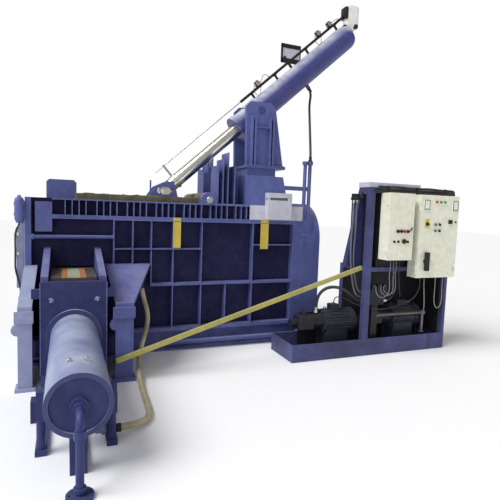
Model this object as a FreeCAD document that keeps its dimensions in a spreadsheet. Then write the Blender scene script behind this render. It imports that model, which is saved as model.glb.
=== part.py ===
import FreeCAD, Part
import math
import os
import Sketcher

# Triple-action scrap metal baling press. Millimetres, +Z up, floor at Z 0, origin midway
# between the four floor anchors. X runs along the press towards its power unit, and -Y is
# the side that the side ram and its cylinder stand on.

doc = FreeCAD.newDocument("baling_press")
sheet = doc.addObject("Spreadsheet::Sheet", "Sizes")
V = FreeCAD.Vector
LEVEL = FreeCAD.Rotation()
SOLID_AXES = {
    "X": FreeCAD.Rotation(V(0, 1, 0), 90),
    "Y": FreeCAD.Rotation(V(1, 0, 0), -90),
    "Z": LEVEL,
}
nodes = []


class Size:
    """A length that knows its value and the spreadsheet expression it comes from."""

    def __init__(self, value, text):
        self.value = float(value)
        self.text = text

    def _with(self, sign, other, value):
        return Size(value, f"({self.text} {sign} {text_of(other)})")

    def __add__(self, other):
        return self._with("+", other, self.value + number(other))

    def __sub__(self, other):
        return self._with("-", other, self.value - number(other))

    def __mul__(self, other):
        return self._with("*", other, self.value * number(other))

    def __truediv__(self, other):
        return self._with("/", other, self.value / number(other))

    def __neg__(self):
        return Size(-self.value, f"(-1 * {self.text})")

    __radd__ = __add__
    __rmul__ = __mul__

    def __rsub__(self, other):
        return -self + other


def number(amount):
    return amount.value if isinstance(amount, Size) else float(amount)


def text_of(amount):
    return amount.text if isinstance(amount, Size) else repr(amount)


def size(name, value):
    """Write one driving dimension on the sheet's next row and hand it back."""
    size.row += 1
    cell = f"B{size.row}"
    sheet.set(f"A{size.row}", name)
    sheet.set(cell, str(value))
    sheet.setAlias(cell, name)
    return Size(sheet.getContents(cell), f"Sizes.{name}")


size.row = 0


def bind(obj, path, amount):
    """Tie a property to the sheet, or set it where the amount is a bare zero."""
    obj.setExpression(path, text_of(amount))


def place(obj, x=0, y=0, z=0, turn=LEVEL):
    obj.Placement = FreeCAD.Placement(V(number(x), number(y), number(z)), turn)
    for axis, amount in zip("xyz", (x, y, z)):
        if isinstance(amount, Size):
            bind(obj, f".Placement.Base.{axis}", amount)
    return obj


def block(x, y, z):
    """A box between two values on each axis."""
    solid = doc.addObject("Part::Box", "block")
    for side, (low, high) in zip(("Length", "Width", "Height"), (x, y, z)):
        bind(solid, side, high - low)
    return place(solid, x[0], y[0], z[0])


def bar(axis, centre, radius, span):
    """A round bar along an axis: centre gives the other two coordinates in X, Y, Z order."""
    solid = doc.addObject("Part::Cylinder", "bar")
    bind(solid, "Radius", radius)
    bind(solid, "Height", span[1] - span[0])
    spot = list(centre)
    spot.insert("XYZ".index(axis), span[0])
    return place(solid, *spot, SOLID_AXES[axis])


def cone(axis, centre, radii, span):
    solid = doc.addObject("Part::Cone", "cone")
    bind(solid, "Radius1", radii[0])
    bind(solid, "Radius2", radii[1])
    bind(solid, "Height", span[1] - span[0])
    spot = list(centre)
    spot.insert("XYZ".index(axis), span[0])
    return place(solid, *spot, SOLID_AXES[axis])


def fuse(*pieces):
    if len(pieces) == 1:
        return pieces[0]
    joined = doc.addObject("Part::MultiFuse", "fused")
    joined.Shapes = list(pieces)
    return joined


def cut(base, *tools):
    result = doc.addObject("Part::Cut", "cut")
    result.Base = base
    result.Tool = fuse(*tools)
    return result


def common(first, second):
    result = doc.addObject("Part::Common", "common")
    result.Base = first
    result.Tool = second
    return result


def group(*pieces):
    """Separate solids kept side by side in one sub-part."""
    together = doc.addObject("Part::Compound", "group")
    together.Links = list(pieces)
    return together


def tube(axis, centre, outer, inner, span):
    return cut(bar(axis, centre, outer, span), bar(axis, centre, inner, span))


def outline(body, plane, corners, offset):
    """A closed sketch of straight sides whose corners are tied to the sheet."""
    sketch = body.newObject("Sketcher::SketchObject", "outline")
    base = [item for item in body.Origin.OriginFeatures if item.Role == plane][0]
    sketch.AttachmentSupport = [(base, "")]
    sketch.MapMode = "FlatFace"
    sketch.AttachmentOffset = FreeCAD.Placement(V(0, 0, number(offset)), LEVEL)
    if isinstance(offset, Size):
        bind(sketch, ".AttachmentOffset.Base.z", offset)
    points = [V(number(a), number(b), 0) for a, b in corners]
    count = len(points)
    for i in range(count):
        sketch.addGeometry(Part.LineSegment(points[i], points[(i + 1) % count]), False)
    for i in range(count):
        sketch.addConstraint(Sketcher.Constraint("Coincident", i, 2, (i + 1) % count, 1))
    for i, corner in enumerate(corners):
        for kind, amount in zip(("DistanceX", "DistanceY"), corner):
            row = sketch.addConstraint(Sketcher.Constraint(kind, -1, 1, i, 1, number(amount)))
            if isinstance(amount, Size):
                bind(sketch, f"Constraints[{row}]", amount)
    return sketch


# Each plane's normal: a pad or section at a distance along it needs this sign.
PLANES = {"XZ": ("XZ_Plane", -1), "YZ": ("YZ_Plane", 1), "XY": ("XY_Plane", 1)}


def profile(plane, corners, span):
    """A plate or prism: an outline drawn in a plane and padded over a span across it."""
    role, sign = PLANES[plane]
    body = doc.addObject("PartDesign::Body", "profile")
    start = span[0] if sign > 0 else -span[1]
    sketch = outline(body, role, corners, start)
    pad = body.newObject("PartDesign::Pad", "pad")
    pad.Profile = sketch
    bind(pad, "Length", span[1] - span[0])
    return body


def tapered(first, first_y, second, second_y):
    """A four-sided piece lofted between outlines in two planes of constant Y."""
    body = doc.addObject("PartDesign::Body", "tapered")
    sections = []
    for (x, z), y in ((first, first_y), (second, second_y)):
        corners = [(x[0], z[0]), (x[1], z[0]), (x[1], z[1]), (x[0], z[1])]
        sections.append(outline(body, "XZ_Plane", corners, -y))
    loft = body.newObject("PartDesign::AdditiveLoft", "loft")
    loft.Profile = sections[0]
    loft.Sections = [sections[1]]
    loft.Ruled = True
    return body


def both_sides(low, high):
    """The same stretch of Y on the near and the far side."""
    return ((-high, -low), (low, high))


def about(middle, half):
    return (middle - half, middle + half)


def node(name, piece):
    """Name a finished sub-part: the label is also its file's name."""
    piece.Label = name
    nodes.append(piece)
    return piece


# ---------------------------------------------------------------- driving dimensions

running_play = size("running_play", 0.05)
open_play = size("open_play", 0.5)
slide_play = size("slide_play", 5)

# press box
box_half_length = size("box_half_length", 1530)
chamber_half_width = size("chamber_half_width", 350)
wall_thickness = size("wall_thickness", 20)
flange_reach = size("flange_reach", 80)
beam_height = size("floor_beam_height", 240)
beam_width = size("floor_beam_width", 170)
floor_web = size("floor_beam_web", 14)
floor_thickness = size("floor_thickness", 60)
rail_top = size("rail_top_height", 1655)
rail_foot = size("rail_foot_height", 1450)
rail_foot_thickness = size("rail_foot_thickness", 40)
rail_cap_thickness = size("rail_cap_thickness", 15)
plate_thickness = size("plate_thickness", 12)
waist_height = size("waist_flange_height", 735)
waist_thickness = size("waist_flange_thickness", 30)
gusset_pitch = size("rail_gusset_pitch", 66)
gusset_group_pitch = size("rail_gusset_group_pitch", 305)
gusset_inset = size("rail_gusset_inset", 360)
gusset_thickness = size("rail_gusset_thickness", 10)

wall_inner = chamber_half_width
wall_outer = chamber_half_width + wall_thickness
flange_outer = wall_outer + flange_reach
floor_top = beam_height + floor_thickness
box_left = -box_half_length
box_right = box_half_length
gusset_start = box_left + gusset_inset

# bale chamber at the left end, the ram tunnels and their covers
trough_x = box_left + size("bale_chamber_offset", 439)
bale_half = size("bale_half_width", 200)
tunnel_height = size("tunnel_height", 660)
cover_thickness = size("cover_plate_thickness", 35)
end_plate_thickness = size("end_plate_thickness", 25)
end_rib_reach = size("end_rib_reach", 46)
anvil_thickness = size("anvil_thickness", 40)
tunnel_top = floor_top + tunnel_height
bale_left = trough_x - bale_half
bale_right = trough_x + bale_half

# lid and its hinge
hinge_x = size("lid_hinge_x", 340)
hinge_z = size("lid_hinge_height", 1700)
hinge_shaft_radius = size("hinge_shaft_radius", 40)
knuckle_radius = size("knuckle_radius", 84)
lid_swing_radius = size("lid_swing_radius", 1400)
lid_gap = size("lid_gap", 12)
lid_top = size("lid_top_height", 1715)
lid_plate_thickness = size("lid_plate_thickness", 115)
lid_skin = size("lid_skin_thickness", 25)
lid_right = size("lid_right_edge", 300)
press_block_right = size("press_block_right", 250)
press_block_lift = size("press_block_clearance", 15)
bracket_width = size("hinge_bracket_width", 190)

# main ram
main_bore_height = size("main_cylinder_height", 630)
main_barrel_radius = size("main_barrel_radius", 240)
main_barrel_wall = size("main_barrel_wall", 35)
main_barrel_left = size("main_barrel_left", 440)
crosshead_depth = size("crosshead_depth", 264)
main_barrel_right = box_right + crosshead_depth - size("main_barrel_inset", 4)
main_flange_radius = size("main_flange_radius", 275)
main_flange_thickness = size("main_flange_thickness", 45)
main_rod_radius = size("main_rod_radius", 150)
main_piston_length = size("main_piston_length", 90)
main_piston_right = main_barrel_right - size("main_piston_inset", 50)
ram_face_left = size("main_ram_face", 330)
ram_face_thickness = size("main_ram_face_thickness", 100)
ram_skirt = size("main_ram_skirt_thickness", 20)
ram_skirt_right = size("main_ram_skirt_end", 760)

# rear crosshead
crosshead_spring = size("crosshead_spring_height", 1255)
crosshead_skin = size("crosshead_skin", 40)

# side ram, trough and cylinder
trough_half = size("trough_half_width", 250)
trough_plate = size("trough_plate_thickness", 40)
trough_front = size("trough_front_y", -1230)
trough_wall_top = size("trough_top_at_wall", 1120)
trough_front_top = size("trough_top_at_front", 930)
trough_flange = size("trough_flange_width", 60)
mount_plate_half = size("mounting_plate_half_width", 270)
mount_plate_thickness = size("mounting_plate_thickness", 60)
mount_plate_foot = size("mounting_plate_foot", 120)
ear_reach = size("mounting_ear_reach", 70)
ear_foot = size("mounting_ear_foot", 790)
ear_height = size("mounting_ear_height", 80)
side_axis_z = size("side_cylinder_height", 460)
side_barrel_radius = size("side_barrel_radius", 192)
side_barrel_wall = size("side_barrel_wall", 27)
side_barrel_length = size("side_barrel_length", 1505)
side_flange_radius = size("side_flange_radius", 232)
side_flange_thickness = size("side_flange_thickness", 35)
side_rod_radius = size("side_rod_radius", 85)
side_piston_length = size("side_piston_length", 80)
end_rim_depth = size("end_rim_depth", 14)
end_rim_width = size("end_rim_width", 12)
side_head_top = size("side_ram_top", 945)
side_head_length = size("side_ram_length", 728)
side_face_thickness = size("side_ram_face_thickness", 60)
side_barrel_end = trough_front - side_barrel_length
port_boss_reach = size("port_boss_reach", 30)
ram_hose_radius = size("ram_hose_radius", 24)
ram_hose_top = (size("ram_hose_top_x", -430), size("ram_hose_top_y", -650), size("ram_hose_top_z", 865))
ram_hose_end = (
    trough_x + size("hose_end_reach", 186),
    side_barrel_end + size("hose_end_inset", 473),
    size("hose_end_height", 68),
)


def build_floor_frame():
    """Two long floor beams, their ties and four anchor pads with a hole each."""
    anchor_x = box_half_length - size("anchor_inset", 100)
    anchor_y = size("anchor_half_spacing_y", 500)
    pad_half = size("anchor_pad_half", 60)
    pad_thickness = size("anchor_pad_thickness", 20)
    hole_radius = size("anchor_hole_radius", 14)
    beam_flange = size("floor_beam_flange", 20)
    tie_half = size("floor_tie_half_width", 60)
    beam_inner = flange_outer - beam_width
    web_middle = flange_outer - beam_width / 2
    beam_x = (box_left, box_right)
    pieces = []
    for low, high in both_sides(beam_inner, flange_outer):
        middle = (low + high) / 2
        pieces.append(block(beam_x, (low, high), (0, beam_flange)))
        pieces.append(block(beam_x, (low, high), (beam_height - beam_flange, beam_height)))
        pieces.append(block(beam_x, about(middle, floor_web / 2), (0, beam_height)))
    for share in (-0.9, -0.3, 0.3, 0.9):
        tie_x = about(box_half_length * share, tie_half)
        pieces.append(block(tie_x, (-web_middle, web_middle), (beam_flange, beam_height)))
    for side_x in (-1, 1):
        for side_y in (-1, 1):
            x = anchor_x * side_x
            outer = (anchor_y + pad_half) * side_y
            inner = beam_inner * side_y
            y = (outer, inner) if side_y < 0 else (inner, outer)
            pieces.append(block(about(x, pad_half), y, (0, pad_thickness)))
    holes = [
        bar("Z", (anchor_x * side_x, anchor_y * side_y), hole_radius, (-pad_thickness, beam_flange * 2))
        for side_x in (-1, 1)
        for side_y in (-1, 1)
    ]
    return node("floor_frame", cut(fuse(*pieces), *holes))


def build_walls():
    """The near and far chamber walls, each with a ram opening through it."""
    for name, y in (
        ("front_wall", (-wall_outer, -wall_inner)),
        ("rear_wall", (wall_inner, wall_outer)),
    ):
        plate = block((box_left, box_right), y, (beam_height, rail_top))
        opening = block((bale_left, bale_right), y, (floor_top, tunnel_top))
        node(name, cut(plate, opening))


wing_z = size("wing_height_at_wall", 983)


def build_stiffeners():
    """The top rail with its gussets, the flanges, ribs and end posts welded to each wall."""
    post_right = box_right - size("end_post_width", 119)
    post_left = box_left + size("left_post_width", 54)
    collar_foot = size("corner_collar_foot", 1320)
    collar_left = box_left + size("corner_collar_inset", 91)
    collar_right = collar_left + size("corner_collar_width", 153)
    skirt_left = box_left + size("skirt_flange_inset", 710)
    skirt_thickness = size("skirt_flange_thickness", 22)
    upper_ribs = [size("rib_a_x", -690), size("rib_b_x", -495)]
    half_ribs = [size("rib_c_x", -299)]
    full_ribs = [size("rib_d_x", -59), size("rib_e_x", 266), size("rib_f_x", 889)]
    lower_ribs = [size("rib_g_x", 560)]
    stringers = [
        (size("stringer_a_height", 1267), collar_right, upper_ribs[0]),
        (size("stringer_b_height", 1144), upper_ribs[0], full_ribs[1]),
        (size("stringer_c_height", 1193), full_ribs[2], post_right),
    ]
    surround_reach = size("gate_surround_width", 50)
    for name, sign in (("front_stiffeners", -1), ("rear_stiffeners", 1)):
        y = (-flange_outer, -wall_outer) if sign < 0 else (wall_outer, flange_outer)
        pieces = [
            block((collar_right, box_right), y, (rail_foot, rail_foot + rail_foot_thickness)),
            block((collar_right, box_right), y, (rail_top - rail_cap_thickness, rail_top)),
            block((half_ribs[0], box_right), y, (waist_height, waist_height + waist_thickness)),
            block((skirt_left, box_right), y, (beam_height, beam_height + skirt_thickness)),
            block((post_right, box_right), y, (beam_height, rail_foot)),
            block((box_left, post_left), y, (beam_height, rail_top)),
            block((collar_left, collar_right), y, (collar_foot, rail_top - rail_foot_thickness)),
        ]
        spans = [(rib, wing_z, rail_foot) for rib in upper_ribs]
        spans += [(rib, waist_height, rail_foot) for rib in half_ribs]
        spans += [(rib, beam_height, rail_foot) for rib in full_ribs]
        spans += [(rib, beam_height, waist_height) for rib in lower_ribs]
        for rib, foot, top in spans:
            pieces.append(block(about(rib, plate_thickness / 2), y, (foot, top)))
        for height, left, right in stringers:
            pieces.append(block((left, right), y, about(height, plate_thickness / 2)))
        groups = int((box_right - gusset_start).value // gusset_group_pitch.value) + 1
        for g in range(groups):
            for k in range(4):
                x = gusset_start + gusset_group_pitch * g + gusset_pitch * k
                if x.value + gusset_thickness.value < box_right.value:
                    gusset = (x, x + gusset_thickness)
                    pieces.append(block(gusset, y, (rail_foot, rail_top)))
        if sign > 0:
            for x in (
                (bale_left - surround_reach, bale_left),
                (bale_right, bale_right + surround_reach),
            ):
                pieces.append(block(x, y, (beam_height, rail_foot)))
            frame_x = (bale_left - surround_reach, bale_right + surround_reach)
            pieces.append(block(frame_x, y, (tunnel_top, tunnel_top + surround_reach)))
            pieces.append(block(frame_x, y, (beam_height, floor_top)))
        node(name, fuse(*pieces))


def build_left_end():
    """The left end wall: a thick plate, outside ribs and the anvil that the bale is made against."""
    rib_thickness = size("end_rib_thickness", 30)
    plate = (box_left - end_plate_thickness, box_left)
    pieces = [block(plate, (-flange_outer, flange_outer), (0, rail_top - rail_foot_thickness))]
    levels = [beam_height, floor_top + tunnel_height / 2, tunnel_top, rail_foot]
    for level in levels:
        ribs_x = (plate[0] - end_rib_reach, plate[0])
        pieces.append(block(ribs_x, (-wall_outer, wall_outer), about(level, rib_thickness / 2)))
    for y in both_sides(wall_inner / 3, wall_inner / 3 + rib_thickness):
        ribs_x = (plate[0] - end_rib_reach, plate[0])
        pieces.append(block(ribs_x, y, (beam_height, rail_foot)))
    anvil = (bale_left - anvil_thickness, bale_left)
    inside = (-wall_inner, wall_inner)
    pieces.append(block(anvil, inside, (floor_top, tunnel_top)))
    for share in (0, 1, 2):
        level = floor_top + (tunnel_height - rib_thickness) * share / 2
        pieces.append(block((box_left, anvil[0]), inside, (level, level + rib_thickness)))
    return node("left_end_wall", fuse(*pieces))


def build_floor_and_covers():
    """The chamber floor, the cover over the bale chamber and the deck over the main ram."""
    inside = (-wall_inner, wall_inner)
    node("chamber_floor", block((box_left, box_right), inside, (beam_height, floor_top)))
    deck_x = (press_block_right + lid_gap, box_right)
    deck = block(deck_x, inside, (tunnel_top, tunnel_top + cover_thickness))

    # The nose of the cover is rolled to the arc that the lid's edge swings on.
    cover_foot = tunnel_top
    roof = block((box_left, hinge_x), inside, (cover_foot, cover_foot + cover_thickness))
    top_deck = block((box_left, hinge_x), inside, (lid_top - lid_plate_thickness, rail_top - rail_cap_thickness))
    web = block((box_left, box_left + cover_thickness), inside, (cover_foot, lid_top - lid_plate_thickness))
    swing = bar("Y", (hinge_x, hinge_z), lid_swing_radius + lid_gap, (-wall_inner * 2, wall_inner * 2))
    outer_arc = bar("Y", (hinge_x, hinge_z), lid_swing_radius + lid_gap + cover_thickness, inside)
    nose_zone = block((box_left, hinge_x), inside, (cover_foot, lid_top - lid_plate_thickness))
    nose = common(outer_arc, nose_zone)
    cover = cut(fuse(roof, top_deck, web, nose), swing)
    return node("chamber_covers", group(cover, deck))


def build_crosshead():
    """The rear crosshead: an arched, open-backed housing that takes the main cylinder's thrust."""
    left = box_right
    right = box_right + crosshead_depth
    arch_radius = flange_outer
    pocket_radius = arch_radius - crosshead_skin
    pocket_x = (left + crosshead_skin, right + crosshead_skin)
    body = fuse(
        block((left, right), (-flange_outer, flange_outer), (0, crosshead_spring)),
        bar("X", (0, crosshead_spring), arch_radius, (left, right)),
    )
    pocket = fuse(
        block(pocket_x, (-pocket_radius, pocket_radius), (crosshead_skin, crosshead_spring)),
        bar("X", (0, crosshead_spring), pocket_radius, pocket_x),
    )
    shell = cut(body, pocket)
    rib_x = (left, right - crosshead_skin)
    rib_half = crosshead_skin / 2
    ribs = [block(rib_x, (-pocket_radius, pocket_radius), about(crosshead_spring, rib_half))]
    for y in both_sides(wall_inner - crosshead_skin, wall_inner):
        ribs.append(block(rib_x, y, (0, crosshead_spring)))
    ribs.append(bar("X", (0, main_bore_height), main_flange_radius, (left, right - crosshead_skin)))
    bore = bar("X", (0, main_bore_height), main_barrel_radius, (left - crosshead_skin, right))
    return node("rear_crosshead", cut(fuse(shell, *ribs), bore))


def build_main_cylinder():
    """The main cylinder's barrel with gland flange and closed end, its rod, and the ram box."""
    centre = (0, main_bore_height)
    barrel_x = (main_barrel_left, main_barrel_right)
    end_wall = size("barrel_end_wall", 30)
    gland_x = (main_barrel_left, main_barrel_left + main_flange_thickness)
    bore_x = (gland_x[1], main_barrel_right - end_wall)
    bore_radius = main_barrel_radius - main_barrel_wall
    barrel = cut(
        fuse(bar("X", centre, main_barrel_radius, barrel_x), bar("X", centre, main_flange_radius, gland_x)),
        bar("X", centre, bore_radius, bore_x),
        bar("X", centre, main_rod_radius + open_play, (main_barrel_left - end_wall, main_barrel_right - end_wall)),
    )
    node("main_cylinder_barrel", barrel)
    piston_x = (main_piston_right - main_piston_length, main_piston_right)
    face_back = ram_face_left + ram_face_thickness
    rod = fuse(
        bar("X", centre, main_rod_radius, (face_back, main_piston_right)),
        bar("X", centre, bore_radius - open_play, piston_x),
    )
    node("main_ram_rod", rod)
    half = wall_inner - slide_play
    height = (floor_top + slide_play, tunnel_top - slide_play)
    skirt_y = (-half + ram_skirt, half - ram_skirt)
    hollow_x = (face_back, ram_skirt_right)
    hollow = block(hollow_x, skirt_y, (height[0] + ram_skirt, height[1] - ram_skirt))
    head = cut(block((ram_face_left, ram_skirt_right), (-half, half), height), hollow)
    return node("main_ram_head", head)


def build_trough():
    """The side ram's trough: floor, two plates whose tops slope down to the front, and flanges."""
    inner = trough_half - trough_plate
    wall_y = -wall_outer
    back = trough_front + mount_plate_thickness
    pieces = [block(about(trough_x, inner), (back, wall_y), (beam_height, floor_top))]
    slope = [
        (back, beam_height),
        (wall_y, beam_height),
        (wall_y, trough_wall_top),
        (back, trough_front_top),
    ]
    cap = [
        (back, trough_front_top),
        (wall_y, trough_wall_top),
        (wall_y, trough_wall_top + trough_plate),
        (back, trough_front_top + trough_plate),
    ]
    for plate_x, flange_x in (
        ((trough_x - trough_half, trough_x - inner), (trough_x - inner - trough_flange, trough_x - inner)),
        ((trough_x + inner, trough_x + trough_half), (trough_x + inner, trough_x + inner + trough_flange)),
    ):
        pieces.append(profile("YZ", slope, plate_x))
        pieces.append(profile("YZ", cap, flange_x))
    for x in about(trough_x, trough_half - trough_plate / 2):
        pieces.append(block(about(x, trough_plate), (back, -flange_outer), (0, beam_height)))
    return node("ram_trough", fuse(*pieces))


def build_mounting_plate():
    """The plate that carries the side cylinder, with its ears and bolts."""
    bolt_radius = size("mounting_bolt_radius", 22)
    bolt_height = trough_front_top - size("mounting_bolt_drop", 165)
    bolt_inset = size("mounting_bolt_inset", 76)
    bolt_head = size("mounting_bolt_head", 26)
    plate_y = (trough_front, trough_front + mount_plate_thickness)
    plate = block(about(trough_x, mount_plate_half), plate_y, (mount_plate_foot, trough_front_top))
    ear_x = about(trough_x, mount_plate_half + ear_reach)
    ears = block(ear_x, plate_y, (ear_foot, ear_foot + ear_height))
    bore = bar("Y", (trough_x, side_axis_z), side_rod_radius + slide_play, about(trough_front, mount_plate_thickness * 2))
    bolts = []
    for x in about(trough_x, mount_plate_half - bolt_inset):
        for z in (bolt_height, mount_plate_foot + bolt_inset):
            bolts.append(bar("Y", (x, z), bolt_radius, (trough_front - bolt_head, trough_front)))
    return node("mounting_plate", fuse(cut(fuse(plate, ears), bore), *bolts))


def build_side_cylinder():
    """The side cylinder: barrel with front flange, capped end, rod, and the ram it pushes."""
    centre = (trough_x, side_axis_z)
    front = trough_front
    end = side_barrel_end
    flange_y = (front - side_flange_thickness, front)
    bore_radius = side_barrel_radius - side_barrel_wall
    # A riser under the barrel turns level at its foot and ends in the hose's union.
    hose_end_x, hose_y, hose_z = ram_hose_end
    riser_radius = ram_hose_radius - size("hose_riser_step", 2)
    riser_x = hose_end_x - size("hose_elbow_length", 60)
    union_x = (hose_end_x - size("hose_union_length", 34), hose_end_x)
    elbow = doc.addObject("Part::Sphere", "elbow")
    bind(elbow, "Radius", riser_radius)
    place(elbow, riser_x, hose_y, hose_z)
    barrel = cut(
        fuse(
            bar("Y", centre, side_barrel_radius, (end, front)),
            bar("Y", centre, side_flange_radius, flange_y),
            bar("Z", (riser_x, hose_y), riser_radius, (hose_z, side_axis_z - riser_radius * 4)),
            bar("X", (hose_y, hose_z), riser_radius, (riser_x, hose_end_x)),
            bar("X", (hose_y, hose_z), ram_hose_radius + size("hose_union_step", 8), union_x),
            elbow,
        ),
        bar("Y", centre, bore_radius, (end, flange_y[0])),
        bar("Y", centre, side_rod_radius + open_play, (end, front + side_flange_thickness)),
    )
    node("side_cylinder_barrel", barrel)

    port_radius = size("port_boss_radius", 52)
    port_ring = size("port_ring_radius", 36)
    port_reach = port_boss_reach
    cap_depth = size("end_cap_depth", 60)
    cap_y = (end + end_rim_depth, end + end_rim_depth + cap_depth)
    cap = fuse(
        bar("Y", centre, bore_radius, cap_y),
        bar("Y", centre, port_radius, (end - port_reach, cap_y[0])),
        bar("Y", centre, port_ring, (end - port_reach * 2, cap_y[0])),
    )
    node("side_cylinder_cap", cap)

    face_y = (-wall_outer - side_face_thickness, -wall_outer)
    rear_y = -wall_outer - side_head_length
    piston_y = (cap_y[1] + open_play * 4, cap_y[1] + open_play * 4 + side_piston_length)
    rod = fuse(
        bar("Y", centre, side_rod_radius, (piston_y[0], rear_y)),
        bar("Y", centre, bore_radius - open_play, piston_y),
    )
    node("side_ram_rod", rod)

    foot = floor_top + slide_play
    side_head_half = bale_half - slide_play
    skirt = size("side_ram_skirt", 25)
    wear_half = size("wear_strip_half_width", 45)
    wear_height = size("wear_strip_height", 5)
    body = block(about(trough_x, side_head_half), (rear_y, -wall_outer), (foot, side_head_top))
    hollow_y = (rear_y + skirt * 2, face_y[0])
    hollow = block(about(trough_x, side_head_half - skirt), hollow_y, (foot - skirt, side_head_top - skirt))
    strips = []
    for x in about(trough_x, side_head_half - wear_half):
        strip_z = (side_head_top, side_head_top + wear_height)
        strips.append(block(about(x, wear_half), (rear_y, face_y[0]), strip_z))
    return node("side_ram_head", fuse(cut(body, hollow), *strips))


def build_supply_pipe():
    """The oil supply to the side cylinder: elbow, unions, riser and its floor flange."""
    pipe_radius = size("supply_pipe_radius", 23)
    pipe_bore = size("supply_pipe_bore", 15)
    riser_y = side_barrel_end - size("supply_riser_reach", 145)
    bend = size("supply_bend_radius", 60)
    union_radius = size("union_radius", 34)
    union_height = size("union_height", 45)
    union_top = size("upper_union_height", 380)
    lower_ring = size("lower_ring_height", 51)
    flange_radius = size("floor_flange_radius", 75)
    flange_height = size("floor_flange_height", 20)
    start_y = side_barrel_end - port_boss_reach * 2
    centre = (trough_x, riser_y)

    def run(radius, overrun):
        """The pipe's way at one radius: level run, quarter bend and riser."""
        ring = doc.addObject("Part::Torus", "bend")
        bind(ring, "Radius1", bend)
        bind(ring, "Radius2", radius)
        ring.Angle3 = 90
        quarter = FreeCAD.Rotation(V(0, -1, 0), V(0, 0, 1), V(-1, 0, 0), "XYZ")
        place(ring, trough_x, riser_y + bend, side_axis_z - bend, quarter)
        level = bar("Y", (trough_x, side_axis_z), radius, (riser_y + bend, start_y + overrun))
        return [level, ring, bar("Z", centre, radius, (-overrun, side_axis_z - bend))]

    pieces = run(pipe_radius, 0) + [
        bar("Z", centre, union_radius, (union_top - union_height, union_top)),
        bar("Z", centre, union_radius, about(lower_ring, union_height / 4)),
        bar("Z", centre, flange_radius, (0, flange_height)),
    ]
    hole_radius = size("floor_flange_hole_radius", 7)
    hole_circle = size("floor_flange_hole_circle", 110)
    holes = []
    for side_x, side_y in ((1, 0), (0, 1), (-1, 0), (0, -1)):
        spot = (trough_x + hole_circle / 2 * side_x, riser_y + hole_circle / 2 * side_y)
        holes.append(bar("Z", spot, hole_radius, (-flange_height, flange_height * 2)))
    return node("supply_pipe", cut(fuse(*pieces), *holes, *run(pipe_bore, pipe_bore)))


def build_legs():
    """The two side legs: a wing sloping down from the wall, a boxed column and a foot flange."""
    wing_thickness = size("wing_thickness", 30)
    wing_front_z = size("wing_height_at_front", 725)
    leg_depth = size("leg_depth", 110)
    foot_height = size("leg_foot_height", 25)
    foot_margin = size("leg_foot_margin", 24)
    web_thickness = size("leg_web_thickness", 20)
    lug_radius = size("leg_lug_radius", 50)
    lug_height = size("leg_lug_height", 530)
    splice_height = size("leg_splice_height", 640)
    splice_thickness = size("leg_splice_thickness", 24)
    front = trough_front
    hose_fitting_radius = size("leg_port_radius", 40)
    for name, wall_x, front_x in (
        (
            "right_leg",
            (trough_x + size("right_wing_inner", 313), trough_x + size("right_wing_outer", 780)),
            (trough_x + size("right_leg_inner", 348), trough_x + size("right_leg_outer", 506)),
        ),
        (
            "left_leg",
            (trough_x - size("left_wing_outer", 447), trough_x - size("left_wing_inner", 329)),
            (trough_x - size("left_leg_outer", 445), trough_x - size("left_leg_inner", 334)),
        ),
    ):
        wing = tapered(
            (wall_x, (wing_z - wing_thickness, wing_z)),
            -flange_outer,
            (front_x, (wing_front_z - wing_thickness, wing_front_z)),
            front,
        )
        web_x = about((front_x[0] + front_x[1]) / 2, web_thickness / 2)
        web = [
            (front + leg_depth / 2, 0),
            (-flange_outer, foot_height),
            (-flange_outer, wing_z - wing_thickness / 2),
            (front + leg_depth / 2, wing_front_z - wing_thickness / 2),
        ]
        column = block(front_x, (front, front + leg_depth), (0, wing_front_z))
        foot = block(
            (front_x[0] - foot_margin, front_x[1] + foot_margin),
            (front - foot_margin, front + leg_depth + foot_margin),
            (0, foot_height),
        )
        splice = block(
            (front_x[0] - foot_margin, front_x[1] + foot_margin / 2),
            (front - splice_thickness, front),
            about(splice_height, lug_radius),
        )
        lug = bar("Y", (front_x[0], lug_height), lug_radius, (front, front + leg_depth / 2))
        pieces = [wing, profile("YZ", web, web_x), column, foot, splice, lug]
        if name == "right_leg":
            pieces.append(block(wall_x, (-flange_outer, -wall_outer), (wing_z - wing_thickness, wing_z)))
            port = (trough_x + size("leg_port_offset", 661), ram_hose_top[1])
            fitting_z = (ram_hose_top[2], ram_hose_top[2] + hose_fitting_radius)
            pieces.append(bar("Z", port, hose_fitting_radius, fitting_z))
        node(name, fuse(*pieces))


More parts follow.
